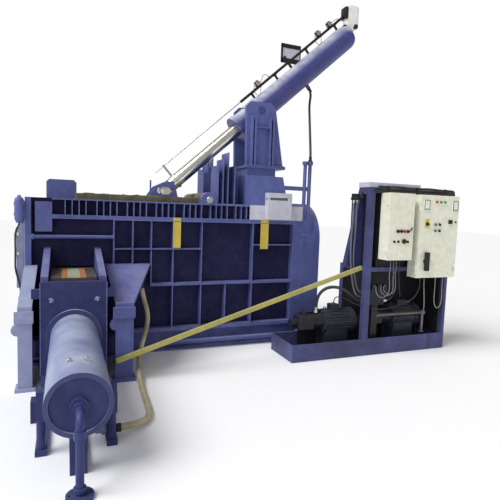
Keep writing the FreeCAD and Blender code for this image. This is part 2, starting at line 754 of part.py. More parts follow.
def build_cylinder_stand():
    """The floor frame under the side cylinder with its posts, saddle and end prop."""
    cross_y = size("stand_cross_y", -1820)
    cross_half = size("stand_cross_half_depth", 55)
    cross_height = size("stand_cross_height", 160)
    cross_x = (trough_x - size("stand_cross_outer", 309), trough_x + size("stand_cross_inner", 301))
    rail_half = size("stand_rail_half_width", 35)
    post_y = side_barrel_end + size("stand_post_inset", 405)
    post_radius = size("stand_post_radius", 27)
    post_spread = size("stand_post_spread", 218)
    saddle_half = size("saddle_half_depth", 40)
    prop_y = side_barrel_end + size("end_prop_inset", 135)
    prop_half = size("end_prop_half_width", 50)
    saddle_z = (side_axis_z - side_barrel_radius - saddle_half, side_axis_z - saddle_half)
    cradle = cut(
        block(about(trough_x, post_spread + post_radius), about(post_y, saddle_half), saddle_z),
        bar("Y", (trough_x, side_axis_z), side_barrel_radius, about(post_y, saddle_half * 2)),
    )
    pieces = [
        block(cross_x, about(cross_y, cross_half), (0, cross_height)),
        cradle,
    ]
    for x in about(trough_x, post_spread):
        pieces.append(block(about(x, rail_half), (post_y - saddle_half, trough_front), (0, rail_half)))
        pieces.append(bar("Z", (x, post_y), post_radius, (0, saddle_z[0])))
    rail_end = prop_y - prop_half
    pieces.append(block(about(trough_x, prop_half), (rail_end, cross_y), (0, rail_half)))
    prop = cut(
        block(about(trough_x, prop_half), about(prop_y, prop_half), (0, side_axis_z)),
        bar("Y", (trough_x, side_axis_z), side_barrel_radius, about(prop_y, prop_half * 2)),
    )
    pieces.append(prop)
    return node("cylinder_stand", fuse(*pieces))


def build_gate():
    """The bale gate: channel guides outside the far wall, hood, lifting cylinder, leaf and rod."""
    leaf_thickness = size("gate_leaf_thickness", 50)
    leaf_overlap = size("gate_leaf_overlap", 20)
    groove_play = size("gate_groove_play", 2)
    leaf_cover = size("gate_leaf_cover", 20)
    channel_width = size("gate_channel_width", 50)
    channel_lip = size("gate_channel_lip", 20)
    hood_left = trough_x - size("hood_reach_left", 274)
    hood_right = trough_x + size("hood_reach_right", 51)
    hood_reach = size("hood_reach", 180)
    hood_top = size("hood_top_height", 1880)
    hood_skin = size("hood_skin", 8)
    hood_chamfer = size("hood_chamfer", 30)
    lift_x = trough_x - size("lift_cylinder_offset", 9)
    lift_radius = size("lift_cylinder_radius", 45)
    lift_wall = size("lift_cylinder_wall", 10)
    lift_foot = size("lift_cylinder_foot", 1100)
    lift_rod_radius = size("lift_rod_radius", 25)
    lug_foot = size("gate_lug_height", 350)
    lug_height = size("gate_lug_thickness", 60)
    near = flange_outer + groove_play
    leaf_y = (near, near + leaf_thickness)
    leaf_x = (bale_left - leaf_overlap, bale_right + leaf_overlap)
    leaf_z = (floor_top, tunnel_top + leaf_cover)
    guide_y = (flange_outer, leaf_y[1] + groove_play + channel_lip)
    groove_y = (flange_outer, leaf_y[1] + groove_play)
    guide_top = rail_top - rail_cap_thickness
    guides = []
    for x, groove_x in (
        ((leaf_x[0] - groove_play - channel_width, leaf_x[0] + leaf_overlap), (leaf_x[0] - groove_play, leaf_x[1])),
        ((leaf_x[1] - leaf_overlap, leaf_x[1] + groove_play + channel_width), (leaf_x[0], leaf_x[1] + groove_play)),
    ):
        post = block(x, guide_y, (beam_height, guide_top))
        guides.append(cut(post, block(groove_x, groove_y, (floor_top, guide_top + channel_lip))))

    lift_y = leaf_y[1] + lift_radius + groove_play * 9
    hood_y = (wall_outer, lift_y + lift_radius + hood_skin * 2)
    hood_outline = [
        (hood_left, rail_top),
        (hood_right, rail_top),
        (hood_right, hood_top - hood_chamfer),
        (hood_right - hood_chamfer, hood_top),
        (hood_left + hood_chamfer, hood_top),
        (hood_left, hood_top - hood_chamfer),
    ]
    hollow_y = (hood_y[0] + hood_skin, hood_y[1] - hood_skin)
    hollow = block((hood_left + hood_skin, hood_right - hood_skin), hollow_y, (rail_top - hood_skin, hood_top - hood_chamfer))
    hood = cut(profile("XZ", hood_outline, hood_y), hollow)
    node("gate_frame", group(hood, *guides))

    centre = (lift_x, lift_y)
    lift_top = hood_top - hood_chamfer
    rod_span = (lug_foot + lug_height, lift_foot + lug_height)
    lift = cut(
        bar("Z", centre, lift_radius, (lift_foot, lift_top)),
        bar("Z", centre, lift_radius - lift_wall, (lift_foot + lift_wall * 2, lift_top - lift_wall)),
        bar("Z", centre, lift_rod_radius + open_play, (lift_foot - lift_wall, lift_foot + lift_wall * 3)),
    )
    node("gate_cylinder", lift)
    leaf = block(leaf_x, leaf_y, leaf_z)
    lug_y = (leaf_y[1], lift_y + lift_rod_radius * 1.5)
    lug = block(about(lift_x, lift_rod_radius * 1.5), lug_y, (lug_foot, lug_foot + lug_height))
    rod = bar("Z", centre, lift_rod_radius, rod_span)
    piston = bar("Z", centre, lift_radius - lift_wall - open_play, (rod_span[1] - lug_height / 2, rod_span[1]))
    return node("gate_leaf", fuse(leaf, lug, rod, piston))


def build_hinge():
    """The hinge shaft across the box and the bracket blocks that hold its ends on the rails."""
    shaft_reach = size("hinge_shaft_reach", 20)
    bracket_y = (wall_inner, flange_outer)
    ends = flange_outer + shaft_reach
    shaft = bar("Y", (hinge_x, hinge_z), hinge_shaft_radius, (-ends, ends))
    node("hinge_shaft", shaft)
    brackets = []
    for y in both_sides(*bracket_y):
        seat = block(about(hinge_x, bracket_width / 2), y, (rail_top, hinge_z))
        crown = common(
            bar("Y", (hinge_x, hinge_z), knuckle_radius, y),
            block(about(hinge_x, bracket_width), y, (rail_top, hinge_z + bracket_width)),
        )
        hole = bar("Y", (hinge_x, hinge_z), hinge_shaft_radius, about(y[0], bracket_width))
        brackets.append(cut(fuse(seat, crown), hole))
    return node("hinge_brackets", group(*brackets))


def build_lid():
    """The lid: top plate, press box with an arc-shaped nose, hinge knuckle, and the clevis."""
    half = wall_inner - slide_play * 2
    y = (-half, half)
    far_left = hinge_x - lid_swing_radius
    block_foot = tunnel_top + press_block_lift
    plate_foot = lid_top - lid_plate_thickness
    swing = bar("Y", (hinge_x, hinge_z), lid_swing_radius, y)
    press_zone = block((far_left, press_block_right), y, (block_foot, lid_top))
    plate = block((press_block_right - lid_skin, lid_right), y, (plate_foot, lid_top))
    knuckle = bar("Y", (hinge_x, hinge_z), knuckle_radius, y)
    solid = fuse(common(swing, press_zone), plate, knuckle)
    inner_y = (-half + lid_skin, half - lid_skin)
    inner_swing = bar("Y", (hinge_x, hinge_z), lid_swing_radius - lid_skin, inner_y)
    inner_zone = block((far_left, press_block_right - lid_skin), inner_y, (block_foot + lid_skin, plate_foot))
    vent_radius = size("lid_vent_radius", 60)
    vent_z = size("lid_vent_height", 1300)
    vent = bar("X", (0, vent_z), vent_radius, (press_block_right - lid_skin * 2, press_block_right + lid_skin))
    bore = bar("Y", (hinge_x, hinge_z), hinge_shaft_radius + running_play, (-half * 2, half * 2))
    return node("lid", cut(solid, common(inner_swing, inner_zone), vent, bore))


# lid cylinder: its pieces are drawn along local X from the trunnion, then tilted
trunnion_x = size("trunnion_x", 1040)
trunnion_z = size("trunnion_height", 2800)
tilt = size("lid_cylinder_tilt", 42)
pin_reach = size("rod_pin_reach", 1509.5)
pin_radius = size("rod_pin_radius", 32)
eye_radius = size("rod_eye_radius", 58)
lid_barrel_radius = size("lid_barrel_radius", 150)
lid_barrel_wall = size("lid_barrel_wall", 25)
lid_rod_radius = size("lid_rod_radius", 78)
lid_head_reach = size("lid_barrel_head_reach", 330)
lid_tail_reach = size("lid_barrel_tail_reach", 1750)
lid_head_radius = size("lid_head_radius", 166)
lid_head_length = size("lid_head_length", 60)
trunnion_radius = size("trunnion_radius", 55)
trunnion_block = size("trunnion_block_radius", 100)
side_plate_inner = size("pedestal_plate_inner", 180)
side_plate_thickness = size("pedestal_plate_thickness", 50)
indicator_offset = size("indicator_offset", 225)
indicator_tube_radius = size("indicator_tube_radius", 17)
indicator_rod_radius = size("indicator_rod_radius", 7)
cheek_thickness = size("clevis_cheek_thickness", 34)
cheek_inner = lid_rod_radius + slide_play


def tilted(piece):
    """Stand a piece drawn in the cylinder's own frame at the trunnion, along the tilted axis."""
    turn = FreeCAD.Rotation(V(0, 1, 0), -tilt.value)
    place(piece, trunnion_x, 0, trunnion_z, turn)
    bind(piece, ".Placement.Rotation.Angle", -tilt)
    return piece


def upright(foot, x, y, z):
    """A box drawn level in the row frame, on a foot given along and above the tilted axis."""
    solid = block(x, y, z)
    carrier = group(solid)
    place(carrier, foot[0], 0, foot[1], FreeCAD.Rotation(V(0, 1, 0), tilt.value))
    bind(carrier, ".Placement.Rotation.Angle", tilt)
    return carrier


def pin_spot():
    """Where the rod's pin lies in the row frame at rest."""
    along = f"cos({tilt.text} * 1 deg)"
    across = f"sin({tilt.text} * 1 deg)"
    angle = math.radians(tilt.value)
    x = trunnion_x - pin_reach * Size(math.cos(angle), along)
    z = trunnion_z - pin_reach * Size(math.sin(angle), across)
    return x, z


def build_lid_cylinder():
    """Barrel with trunnions and rounded tail, its indicator fittings, rod and rod eye."""
    axis = (0, 0)
    bore_radius = lid_barrel_radius - lid_barrel_wall
    shoulder = lid_tail_reach - lid_barrel_radius / 2
    port_reach = size("lid_port_reach", 830)
    port_radius = size("lid_port_radius", 24)
    port_depth = size("lid_port_depth", 40)
    tail = doc.addObject("Part::Sphere", "tail")
    bind(tail, "Radius", lid_barrel_radius)
    place(tail, shoulder, 0, 0)
    body = fuse(
        bar("X", axis, lid_barrel_radius, (-lid_head_reach, shoulder)),
        common(tail, block((shoulder, lid_tail_reach), about(0, lid_barrel_radius), about(0, lid_barrel_radius))),
        bar("X", axis, lid_head_radius, (-lid_head_reach, lid_head_length - lid_head_reach)),
        bar("X", axis, lid_head_radius, about(0, trunnion_block)),
        bar("Y", axis, trunnion_radius, about(0, side_plate_inner + side_plate_thickness)),
        bar("Z", (port_reach, 0), port_radius, (-lid_barrel_radius - port_depth, -lid_barrel_radius + lid_barrel_wall / 2)),
    )
    barrel = cut(
        body,
        bar("X", axis, bore_radius, (lid_head_length - lid_head_reach, lid_tail_reach - lid_barrel_radius)),
        bar("X", axis, lid_rod_radius + open_play, (-lid_head_reach * 2, 0)),
    )
    tilted(node("lid_cylinder_barrel", barrel))

    piston_length = size("lid_piston_length", 80)
    piston_start = lid_head_length - lid_head_reach + slide_play
    rod = fuse(
        bar("X", axis, lid_rod_radius, (-pin_reach + eye_radius, piston_start + piston_length)),
        bar("X", axis, bore_radius - open_play, (piston_start, piston_start + piston_length)),
    )
    eye_half = cheek_inner - slide_play
    eye = fuse(
        bar("Y", (-pin_reach, 0), eye_radius, about(0, eye_half)),
        block((-pin_reach, -pin_reach + eye_radius), about(0, eye_half), about(0, eye_radius)),
        bar("Y", (-pin_reach, 0), pin_radius, about(0, cheek_inner + cheek_thickness + slide_play)),
    )
    tilted(node("lid_rod", fuse(rod, eye)))


def build_position_indicator():
    """What tells the lid's place: a tube along the barrel, its switches, and the rod inside it."""
    tube_start = size("indicator_tube_start", -60)
    tube_end = lid_tail_reach + size("indicator_tube_overrun", 110)
    wall = size("indicator_tube_wall", 4)
    stalk = size("indicator_stalk_half", 12)
    end_box_foot = (lid_tail_reach + size("end_box_stand_off", 10), size("end_box_foot_above", 108))
    end_box_length = size("end_box_length", 210)
    end_box_height = size("end_box_height", 308)
    end_box_half = size("end_box_half_width", 55)
    bracket_half = size("end_bracket_half", 30)
    board_foot = (size("lamp_board_foot_along", 703), size("lamp_board_foot_above", 287))
    board_length = size("lamp_board_length", 275)
    board_height = size("lamp_board_height", 235)
    board_half = size("lamp_board_half_thickness", 12)
    board_rim = size("lamp_board_rim", 26)
    switch_half = size("limit_switch_half", 28)
    high = (0, indicator_offset)
    over = indicator_offset + indicator_tube_radius - wall / 2
    pieces = [tube("X", high, indicator_tube_radius, indicator_tube_radius - wall, (tube_start, tube_end))]
    for start in (
        size("indicator_stalk_a", 112),
        size("indicator_stalk_b", 520),
        size("indicator_stalk_c", 1090),
        size("indicator_stalk_d", 1640),
    ):
        foot = (lid_barrel_radius, indicator_offset - indicator_tube_radius + wall / 2)
        pieces.append(block((start, start + stalk * 2), about(0, stalk), foot))
    for start in (
        size("limit_switch_a", 235),
        size("limit_switch_b", 1345),
        size("limit_switch_c", 1560),
    ):
        switch_z = (over, over + switch_half * 2)
        pieces.append(block((start, start + switch_half * 2), about(0, switch_half), switch_z))
    end_box = upright(end_box_foot, (0, end_box_length), about(0, end_box_half), (0, end_box_height))
    bracket_x = (lid_tail_reach, end_box_foot[0] + bracket_half)
    bracket_z = (end_box_foot[1] - bracket_half, end_box_foot[1] + bracket_half)
    pieces.append(fuse(end_box, block(bracket_x, about(0, bracket_half), bracket_z)))
    board = upright(board_foot, (0, board_length), about(0, board_half), (0, board_height))
    window = upright(
        board_foot,
        (board_rim, board_length - board_rim),
        about(0, board_half * 2),
        (board_rim, board_height - board_rim),
    )
    barrel = bar("X", (0, 0), lid_barrel_radius + open_play, (0, lid_tail_reach))
    pieces.append(cut(board, window, barrel))
    tilted(node("position_indicator", fuse(*pieces)))

    arm_half = size("indicator_arm_half", 12)
    arm_start = size("indicator_arm_start", 172)
    rod_start = -pin_reach + size("indicator_rod_setback", 60)
    rod_end = size("indicator_rod_end", 240)
    arm_x = (-pin_reach + arm_start, -pin_reach + arm_start + arm_half * 2)
    collar = tube("X", (0, 0), lid_rod_radius + arm_half, lid_rod_radius, arm_x)
    arm = block(arm_x, about(0, arm_half), (lid_rod_radius + wall, indicator_offset + arm_half))
    feeler = bar("X", high, indicator_rod_radius, (rod_start, rod_end))
    tilted(node("indicator_rod", fuse(collar, arm, feeler)))


def build_clevis():
    """Two cheeks on the lid with the slots that the rod's pin rides in."""
    pin_x, pin_z = pin_spot()
    slot_left = size("clevis_slot_left", 100)
    slot_right = size("clevis_slot_right", 77)
    slot_half = size("clevis_slot_half_height", 42)
    base_left = size("clevis_base_left", 205)
    base_right = size("clevis_base_right", 140)
    shoulder_left = size("clevis_shoulder_left", 118)
    shoulder_right = size("clevis_shoulder_right", 116)
    crown_left = size("clevis_crown_left", -15)
    crown_right = size("clevis_crown_right", 88)
    crown_rise = size("clevis_crown_rise", 112)
    shoulder_rise = size("clevis_shoulder_rise", 48)
    shoulder_low_rise = size("clevis_low_shoulder_rise", 28)
    corners = [
        (pin_x - base_left, lid_top),
        (pin_x + base_right, lid_top),
        (pin_x + shoulder_right, pin_z + shoulder_low_rise),
        (pin_x + crown_right, pin_z + crown_rise),
        (pin_x - crown_left, pin_z + crown_rise),
        (pin_x - shoulder_left, pin_z + shoulder_rise),
    ]
    cheeks = []
    for y in both_sides(cheek_inner, cheek_inner + cheek_thickness):
        slot_x = (pin_x - slot_left + slot_half, pin_x + slot_right - slot_half)
        slot_y = about(y[0], cheek_thickness * 2)
        slot = fuse(
            block(slot_x, slot_y, about(pin_z, slot_half)),
            bar("Y", (slot_x[0], pin_z), slot_half, slot_y),
            bar("Y", (slot_x[1], pin_z), slot_half, slot_y),
        )
        cheeks.append(cut(profile("XZ", corners, y), slot))
    post_x = pin_x - size("indicator_post_offset", 172)
    post_half = size("indicator_post_half", 9)
    post_near = size("indicator_post_y", -60)
    post_rise = size("indicator_post_rise", 190)
    post = block(about(post_x, post_half), (post_near - post_half, post_near), (lid_top, lid_top + post_rise))
    return node("lid_clevis", group(*cheeks, post))


base_right = size("pedestal_base_right", 1335)
base_top_right = size("pedestal_base_top_right", 1248)
base_top = size("pedestal_base_top", 2005)


def base_edge(height):
    """How far right the pedestal base reaches at a height."""
    return base_right + (base_top_right - base_right) * (height - rail_top) / (base_top - rail_top)


def build_pedestal():
    """The pedestal: a boxed base on the rails, gussets, and two plates that hold the trunnions."""
    base_left = size("pedestal_base_left", 785)
    base_top_left = size("pedestal_base_top_left", 772)
    skin = size("pedestal_skin", 20)
    flange_left = size("pedestal_flange_left", 835)
    flange_right = size("pedestal_flange_right", 1352)
    flange_half = size("pedestal_flange_half_width", 290)
    flange_top = size("pedestal_flange_top", 2140)
    flange_thickness = size("pedestal_flange_thickness", 30)
    corners = [
        (base_left, rail_top),
        (base_right, rail_top),
        (base_top_right, base_top),
        (base_top_left, base_top),
    ]
    hollow = [
        (base_left + skin, rail_top - skin),
        (base_right - skin, rail_top - skin),
        (base_top_right - skin, base_top - skin),
        (base_top_left + skin, base_top - skin),
    ]
    box = cut(
        profile("XZ", corners, about(0, flange_outer)),
        profile("XZ", hollow, about(0, flange_outer - skin)),
    )
    neck_x = (flange_left + skin, base_top_right - skin)
    neck = block(neck_x, about(0, flange_half - skin), (base_top, flange_top - flange_thickness))
    pieces = [box, neck]
    fin_back = size("gusset_back_y", 160)
    spine_left = size("gusset_a_x", 440)
    for x, top in (
        (spine_left, size("gusset_a_top", 2095)),
        (size("gusset_b_x", 500), size("gusset_b_top", 2170)),
        (size("gusset_c_x", 560), size("gusset_c_top", 2247)),
        (size("gusset_d_x", 640), size("gusset_d_top", 2100)),
    ):
        for y in both_sides(fin_back + skin, flange_outer - skin):
            pieces.append(block((x, x + plate_thickness), y, (rail_top, top)))
    spine = [
        (spine_left, rail_top),
        (base_left, rail_top),
        (base_top_left, base_top),
        (base_top_left, base_top + flange_thickness),
        (spine_left + gusset_pitch * 2, base_top + flange_thickness * 3),
        (spine_left, base_top + flange_thickness),
    ]
    for y in both_sides(fin_back, fin_back + skin):
        pieces.append(profile("XZ", spine, y))
    node("pedestal_base", fuse(*pieces))

    plate_foot_left = size("pedestal_plate_foot_left", 855)
    plate_foot_right = size("pedestal_plate_foot_right", 1345)
    plate_top_left = size("pedestal_plate_top_left", 838)
    plate_top_right = size("pedestal_plate_top_right", 1222)
    plate_top = size("pedestal_plate_top", 2900)
    top_chamfer = size("pedestal_top_chamfer", 60)
    rib_reach = size("pedestal_rib_reach", 50)
    rib_foot = flange_top
    rib_top = size("pedestal_rib_top", 2725)
    cross_height = size("pedestal_cross_rib_height", 2596)
    boss_radius = size("trunnion_boss_radius", 110)
    inner = side_plate_inner
    outer = side_plate_inner + side_plate_thickness
    plate = [
        (plate_foot_left, flange_top),
        (plate_foot_right, flange_top),
        (plate_top_right, plate_top - top_chamfer),
        (plate_top_right - top_chamfer, plate_top),
        (plate_top_left + top_chamfer, plate_top),
        (plate_top_left, plate_top - top_chamfer),
    ]
    flange_span = (flange_top - flange_thickness, flange_top)
    parts = [block((flange_left, flange_right), about(0, flange_half), flange_span)]
    ribs_x = (
        (size("pedestal_rib_a_left", 897), size("pedestal_rib_a_right", 957)),
        (size("pedestal_rib_b_left", 1134), size("pedestal_rib_b_right", 1196)),
    )
    for sign, y, rib_y in (
        (-1, (-outer, -inner), (-outer - rib_reach, -outer)),
        (1, (inner, outer), (outer, outer + rib_reach)),
    ):
        parts.append(profile("XZ", plate, y))
        for x in ribs_x:
            groove = block((x[0] + skin, x[1] - skin), rib_y, (rib_foot, rib_top))
            parts.append(cut(block(x, rib_y, (rib_foot, rib_top)), groove))
        cross_x = (ribs_x[0][1], ribs_x[1][0])
        parts.append(block(cross_x, rib_y, about(cross_height, plate_thickness / 2)))
    tie_left = size("pedestal_tie_left", 1180)
    parts.append(block((tie_left, tie_left + plate_thickness * 2), about(0, inner), (flange_top, cross_height / 1.1)))
    hole = bar("Y", (trunnion_x, trunnion_z), trunnion_radius + running_play, about(0, outer + rib_reach * 2))
    return node("trunnion_pedestal", cut(fuse(*parts), hole))


def build_rail_fittings():
    """The terminal box on the near rail, and the standpipes with their clamp arm."""
    box_x = (size("terminal_box_left", 1025), size("terminal_box_right", 1330))
    box_z = (size("terminal_box_foot", 1500), size("terminal_box_top", 1725))
    plate_left = size("terminal_plate_left", 835)
    plate_foot = size("terminal_plate_foot", 1490)
    plate_top = size("terminal_plate_top", 1660)
    reach = size("terminal_box_reach", 95)
    thickness = size("terminal_plate_thickness", 10)
    hood_top = size("terminal_hood_top", 1810)
    hood_foot = size("terminal_hood_foot", 1755)
    plate_y = (-flange_outer - thickness, -flange_outer)
    box_y = (plate_y[0] - reach, plate_y[0])
    pieces = [
        block((plate_left, box_right), plate_y, (plate_foot, plate_top)),
        block(box_x, box_y, box_z),
        block(box_x, (box_y[0], box_y[0] + reach / 3), (box_z[1], hood_top)),
        block(box_x, (box_y[0], plate_y[1]), (hood_foot, hood_top)),
        block(box_x, plate_y, (plate_top, hood_top)),
    ]
    slot = block(
        (box_x[0] + thickness * 2, box_x[1] - thickness * 2),
        (box_y[0] - thickness, plate_y[0] - thickness),
        (box_z[1], hood_foot),
    )
    node("terminal_box", cut(fuse(*pieces), slot))

    pipe_radius = size("standpipe_radius", 22)
    pipe_top = size("standpipe_top", 2215)
    pipe_y = size("standpipe_y", -420)
    head_radius = size("standpipe_head_radius", 36)
    head_height = size("standpipe_head_height", 40)
    arm_z = size("standpipe_arm_height", 1882)
    saddle_half = size("standpipe_saddle_half", 26)
    saddle_margin = size("standpipe_saddle_margin", 22)
    saddle_rise = size("standpipe_saddle_rise", 264)
    arm_half = size("standpipe_arm_half", 25)
    pipe_x = box_right + crosshead_depth / 9
    second_x = pipe_x + pipe_radius * 3
    pipes = []
    for x in (pipe_x, second_x):
        pipes.append(bar("Z", (x, pipe_y), pipe_radius, (crosshead_spring + saddle_rise, pipe_top)))
        pipes.append(bar("Z", (x, pipe_y), head_radius, (pipe_top - head_height, pipe_top)))
    arm = [
        (base_edge(arm_z - arm_half), arm_z - arm_half),
        (second_x, arm_z - arm_half),
        (second_x, arm_z + arm_half),
        (base_edge(arm_z + arm_half), arm_z + arm_half),
    ]
    pipes.append(profile("XZ", arm, about(pipe_y, arm_half / 2)))
    # The saddle's foot is hollowed to the crosshead's arch.
    saddle_x = (box_right + open_play, second_x + pipe_radius + saddle_margin)
    saddle = block(saddle_x, about(pipe_y, saddle_half), (crosshead_spring, crosshead_spring + saddle_rise))
    arch = bar("X", (0, crosshead_spring), flange_outer, (saddle_x[0] - saddle_half, saddle_x[1] + saddle_half))
    pipes.append(cut(saddle, arch))
    return node("standpipes", fuse(*pipes))


unit_frame_left = size("unit_frame_left", 1943)


def build_low_fittings():
    """The tie pipe along the foot of the near side and the cable duct out to the power unit."""
    pipe_radius = size("tie_pipe_radius", 26)
    pipe_z = size("tie_pipe_height", 97)
    pipe_left = size("tie_pipe_left", -110)
    pipe_right = box_right + size("tie_pipe_overreach", 303)
    bracket_half = size("tie_bracket_half", 8)
    web_face = flange_outer - beam_width / 2 + floor_web / 2
    collar_radius = size("tie_collar_radius", 48)
    collar_x = box_right - size("tie_collar_inset", 30)
    collar_length = size("tie_collar_length", 24)
    pipe_y = -flange_outer - pipe_radius
    centre = (pipe_y, pipe_z)
    brackets = []
    for x in (size("tie_bracket_a_x", 60), size("tie_bracket_b_x", 700), size("tie_bracket_c_x", 1300)):
        bracket_z = about(pipe_z, pipe_radius / 2)
        brackets.append(block(about(x, bracket_half), (pipe_y, -web_face), bracket_z))
    pipe = fuse(
        *brackets,
        bar("X", centre, pipe_radius, (pipe_left, pipe_right)),
        bar("X", centre, collar_radius, (collar_x, collar_x + collar_length)),
        bar("X", centre, collar_radius, (pipe_right - collar_length, pipe_right)),
    )
    node("tie_pipe", pipe)
    duct_start = (size("duct_start_x", -729), size("duct_start_y", -1268), size("duct_start_z", 181))
    duct_end = (unit_frame_left, size("duct_end_y", -1160), size("duct_end_z", 975))
    duct_half = size("duct_half_height", 22)
    duct_depth = size("duct_depth", 30)
    run = V(*(number(b) - number(a) for a, b in zip(duct_start, duct_end)))
    duct = doc.addObject("Part::Box", "duct")
    duct.Length = run.Length
    bind(duct, "Width", duct_depth)
    bind(duct, "Height", duct_half * 2)
    level_run = V(run.x, run.y, 0)
    turn = FreeCAD.Rotation(V(0, 0, 1), math.degrees(math.atan2(run.y, run.x)))
    lift = FreeCAD.Rotation(V(0, 1, 0), -math.degrees(math.atan2(run.z, level_run.Length)))
    start = [number(a) for a in duct_start]
    duct.Placement = FreeCAD.Placement(V(*start), turn.multiply(lift))
    clip_half = size("duct_clip_half", 18)
    clip_x = about(duct_start[0] + duct_half * 3, clip_half)
    clip_z = about(duct_start[2] + duct_half * 2, clip_half)
    clip = block(clip_x, (trough_front - duct_half, trough_front), clip_z)
    return node("cable_duct", fuse(duct, clip))


def build_power_unit():
    """The power unit: tray, frame, oil tank with lid, motors, pumps and valve block."""
    left = size("unit_left", 1058)
    right = left + size("unit_length", 2080)
    near = size("unit_near_y", -1230)
    far = size("unit_far_y", -710)
    tray_height = size("tray_height", 190)
    skin = size("tray_skin", 10)
    post = size("unit_post_width", 68)
    frame_left = unit_frame_left
    frame_right = right + size("unit_frame_overhang", 23)
    deck_z = size("unit_deck_height", 960)
    deck_thickness = size("unit_deck_thickness", 45)
    top_z = size("unit_top_height", 1900)
    top_band = size("unit_top_band", 62)
    top_far = size("unit_top_far_y", -1020)
    deck_far = size("unit_deck_far_y", -745)
    tray = cut(
        block((left, right), (near, far), (0, tray_height)),
        block((left + skin, right - skin), (near + skin, far - skin), (skin, tray_height + skin)),
    )
    pieces = [tray]
    post_x = ((frame_left, frame_left + post), (frame_right - post, frame_right))
    for x in post_x:
        inside_x = (x[0], x[1] - (frame_right - right)) if x is post_x[1] else x
        pieces.append(block(inside_x, (near, near + post), (skin, top_z)))
        pieces.append(block(inside_x, (far - post, far), (skin, deck_z)))
        slope = [
            (deck_far - post, deck_z),
            (deck_far, deck_z),
            (top_far, top_z),
            (top_far - post, top_z),
        ]
        pieces.append(profile("YZ", slope, (x[0], x[0] + post / 2)))
        pieces.append(block(x, (near, far), (deck_z, deck_z + deck_thickness)))
        pieces.append(block(x, (near, top_far), (top_z - top_band, top_z)))
    for y in ((near, near + post / 2), (deck_far - post, deck_far)):
        pieces.append(block((frame_left, frame_right), y, (deck_z, deck_z + deck_thickness)))
    for y in ((near, near + post / 2), (top_far - post, top_far)):
        pieces.append(block((frame_left, frame_right), y, (top_z - top_band, top_z)))
    tank_inset = size("tank_inset", 90)
    tank_gap = size("tank_gap", 8)
    bearer_inset = size("tank_bearer_inset", 120)
    bearer_half = size("tank_bearer_half", 30)
    for x in (frame_left + post + tank_inset + bearer_inset, frame_right - post - bearer_inset):
        bearer_y = (near + post / 4, deck_far - post / 2)
        pieces.append(block(about(x, bearer_half), bearer_y, (deck_z, deck_z + deck_thickness)))
    node("unit_frame", fuse(*pieces))

    tank_x = (frame_left + post + tank_inset, frame_right - post - tank_gap)
    tank_near = near + post / 2 + tank_gap
    tank_outline = [
        (tank_near, deck_z + deck_thickness),
        (deck_far - post - tank_gap, deck_z + deck_thickness),
        (top_far - post - tank_gap, top_z - top_band),
        (top_far - post - tank_gap, top_z),
        (tank_near, top_z),
    ]
    guard_left = size("drip_guard_left", 1350)
    guard_rise = size("drip_guard_height", 430)
    guard_sheet = size("drip_guard_thickness", 6)
    guard_y = (far - post - guard_sheet, far - post)
    guard_outline = [
        (guard_left, skin),
        (frame_right - post, skin),
        (frame_right - post, deck_z),
        (frame_left, deck_z),
        (frame_left, guard_rise),
        (guard_left, guard_rise),
    ]
    node("oil_tank", group(profile("YZ", tank_outline, tank_x), profile("XZ", guard_outline, guard_y)))
    cover_left = size("tank_cover_left", 1935)
    cover_right = size("tank_cover_right", 2650)
    cover_height = size("tank_cover_height", 55)
    cover_near = size("tank_cover_near_y", -1215)
    low_cover = size("low_cover_height", 18)
    cover = fuse(
        block((cover_left, cover_right), (cover_near, top_far), (top_z, top_z + cover_height)),
        block((cover_right, frame_right), (cover_near, top_far), (top_z, top_z + low_cover)),
    )
    node("unit_cover", cover)

    motor_radius = size("motor_radius", 125)
    motor_length = size("motor_length", 340)
    fin_reach = size("motor_fin_reach", 14)
    fin_pitch = size("motor_fin_angle", 30)
    foot_half = size("motor_foot_half", 105)
    cowl_length = size("motor_cowl_length", 70)
    bell_radius = size("bell_radius", 95)
    bell_length = size("bell_length", 120)
    pump_half = size("pump_half", 75)
    pump_length = size("pump_length", 190)
    motors = []
    pumps = []
    rail_z = skin
    for x, y, z in (
        (size("motor_a_x", 1560), size("motor_a_y", -930), size("motor_a_z", 360)),
        (size("motor_b_x", 2480), size("motor_b_y", -960), size("motor_b_z", 380)),
    ):
        span = (x, x + motor_length)
        centre = (y, z)
        parts = [
            bar("X", centre, motor_radius, span),
            bar("X", centre, motor_radius + fin_reach, (span[1], span[1] + cowl_length)),
            block((x + fin_reach * 2, span[1] - fin_reach * 2), about(y, foot_half), (rail_z, z)),
            block(about(x + motor_length / 2, foot_half / 2), about(y, foot_half / 2), (z, z + motor_radius * 1.5)),
        ]
        count = int(180 / fin_pitch.value)
        for k in range(count):
            fin = doc.addObject("Part::Box", "fin")
            bind(fin, "Length", motor_length)
            bind(fin, "Width", (motor_radius + fin_reach) * 2)
            bind(fin, "Height", fin_reach / 2)
            carrier = doc.addObject("Part::Compound", "fin_carrier")
            place(fin, 0, -(motor_radius + fin_reach), -fin_reach / 4)
            carrier.Links = [fin]
            place(carrier, x, y, z, FreeCAD.Rotation(V(1, 0, 0), k * fin_pitch.value))
            parts.append(carrier)
        motors.append(fuse(*parts))
        bell = (x - bell_length, x)
        body = (bell[0] - pump_length, bell[0])
        pump = fuse(
            cone("X", centre, (bell_radius * 0.8, bell_radius), bell),
            block(body, about(y, pump_half), about(z, pump_half)),
            bar("X", centre, pump_half * 0.6, (body[0] - pump_half, body[0])),
            bar("Z", (body[0] + pump_length / 2, y), pump_half / 3, (z, z + pump_half * 2)),
        )
        pumps.append(pump)
    node("pump_motors", group(*motors))
    node("hydraulic_pumps", group(*pumps))

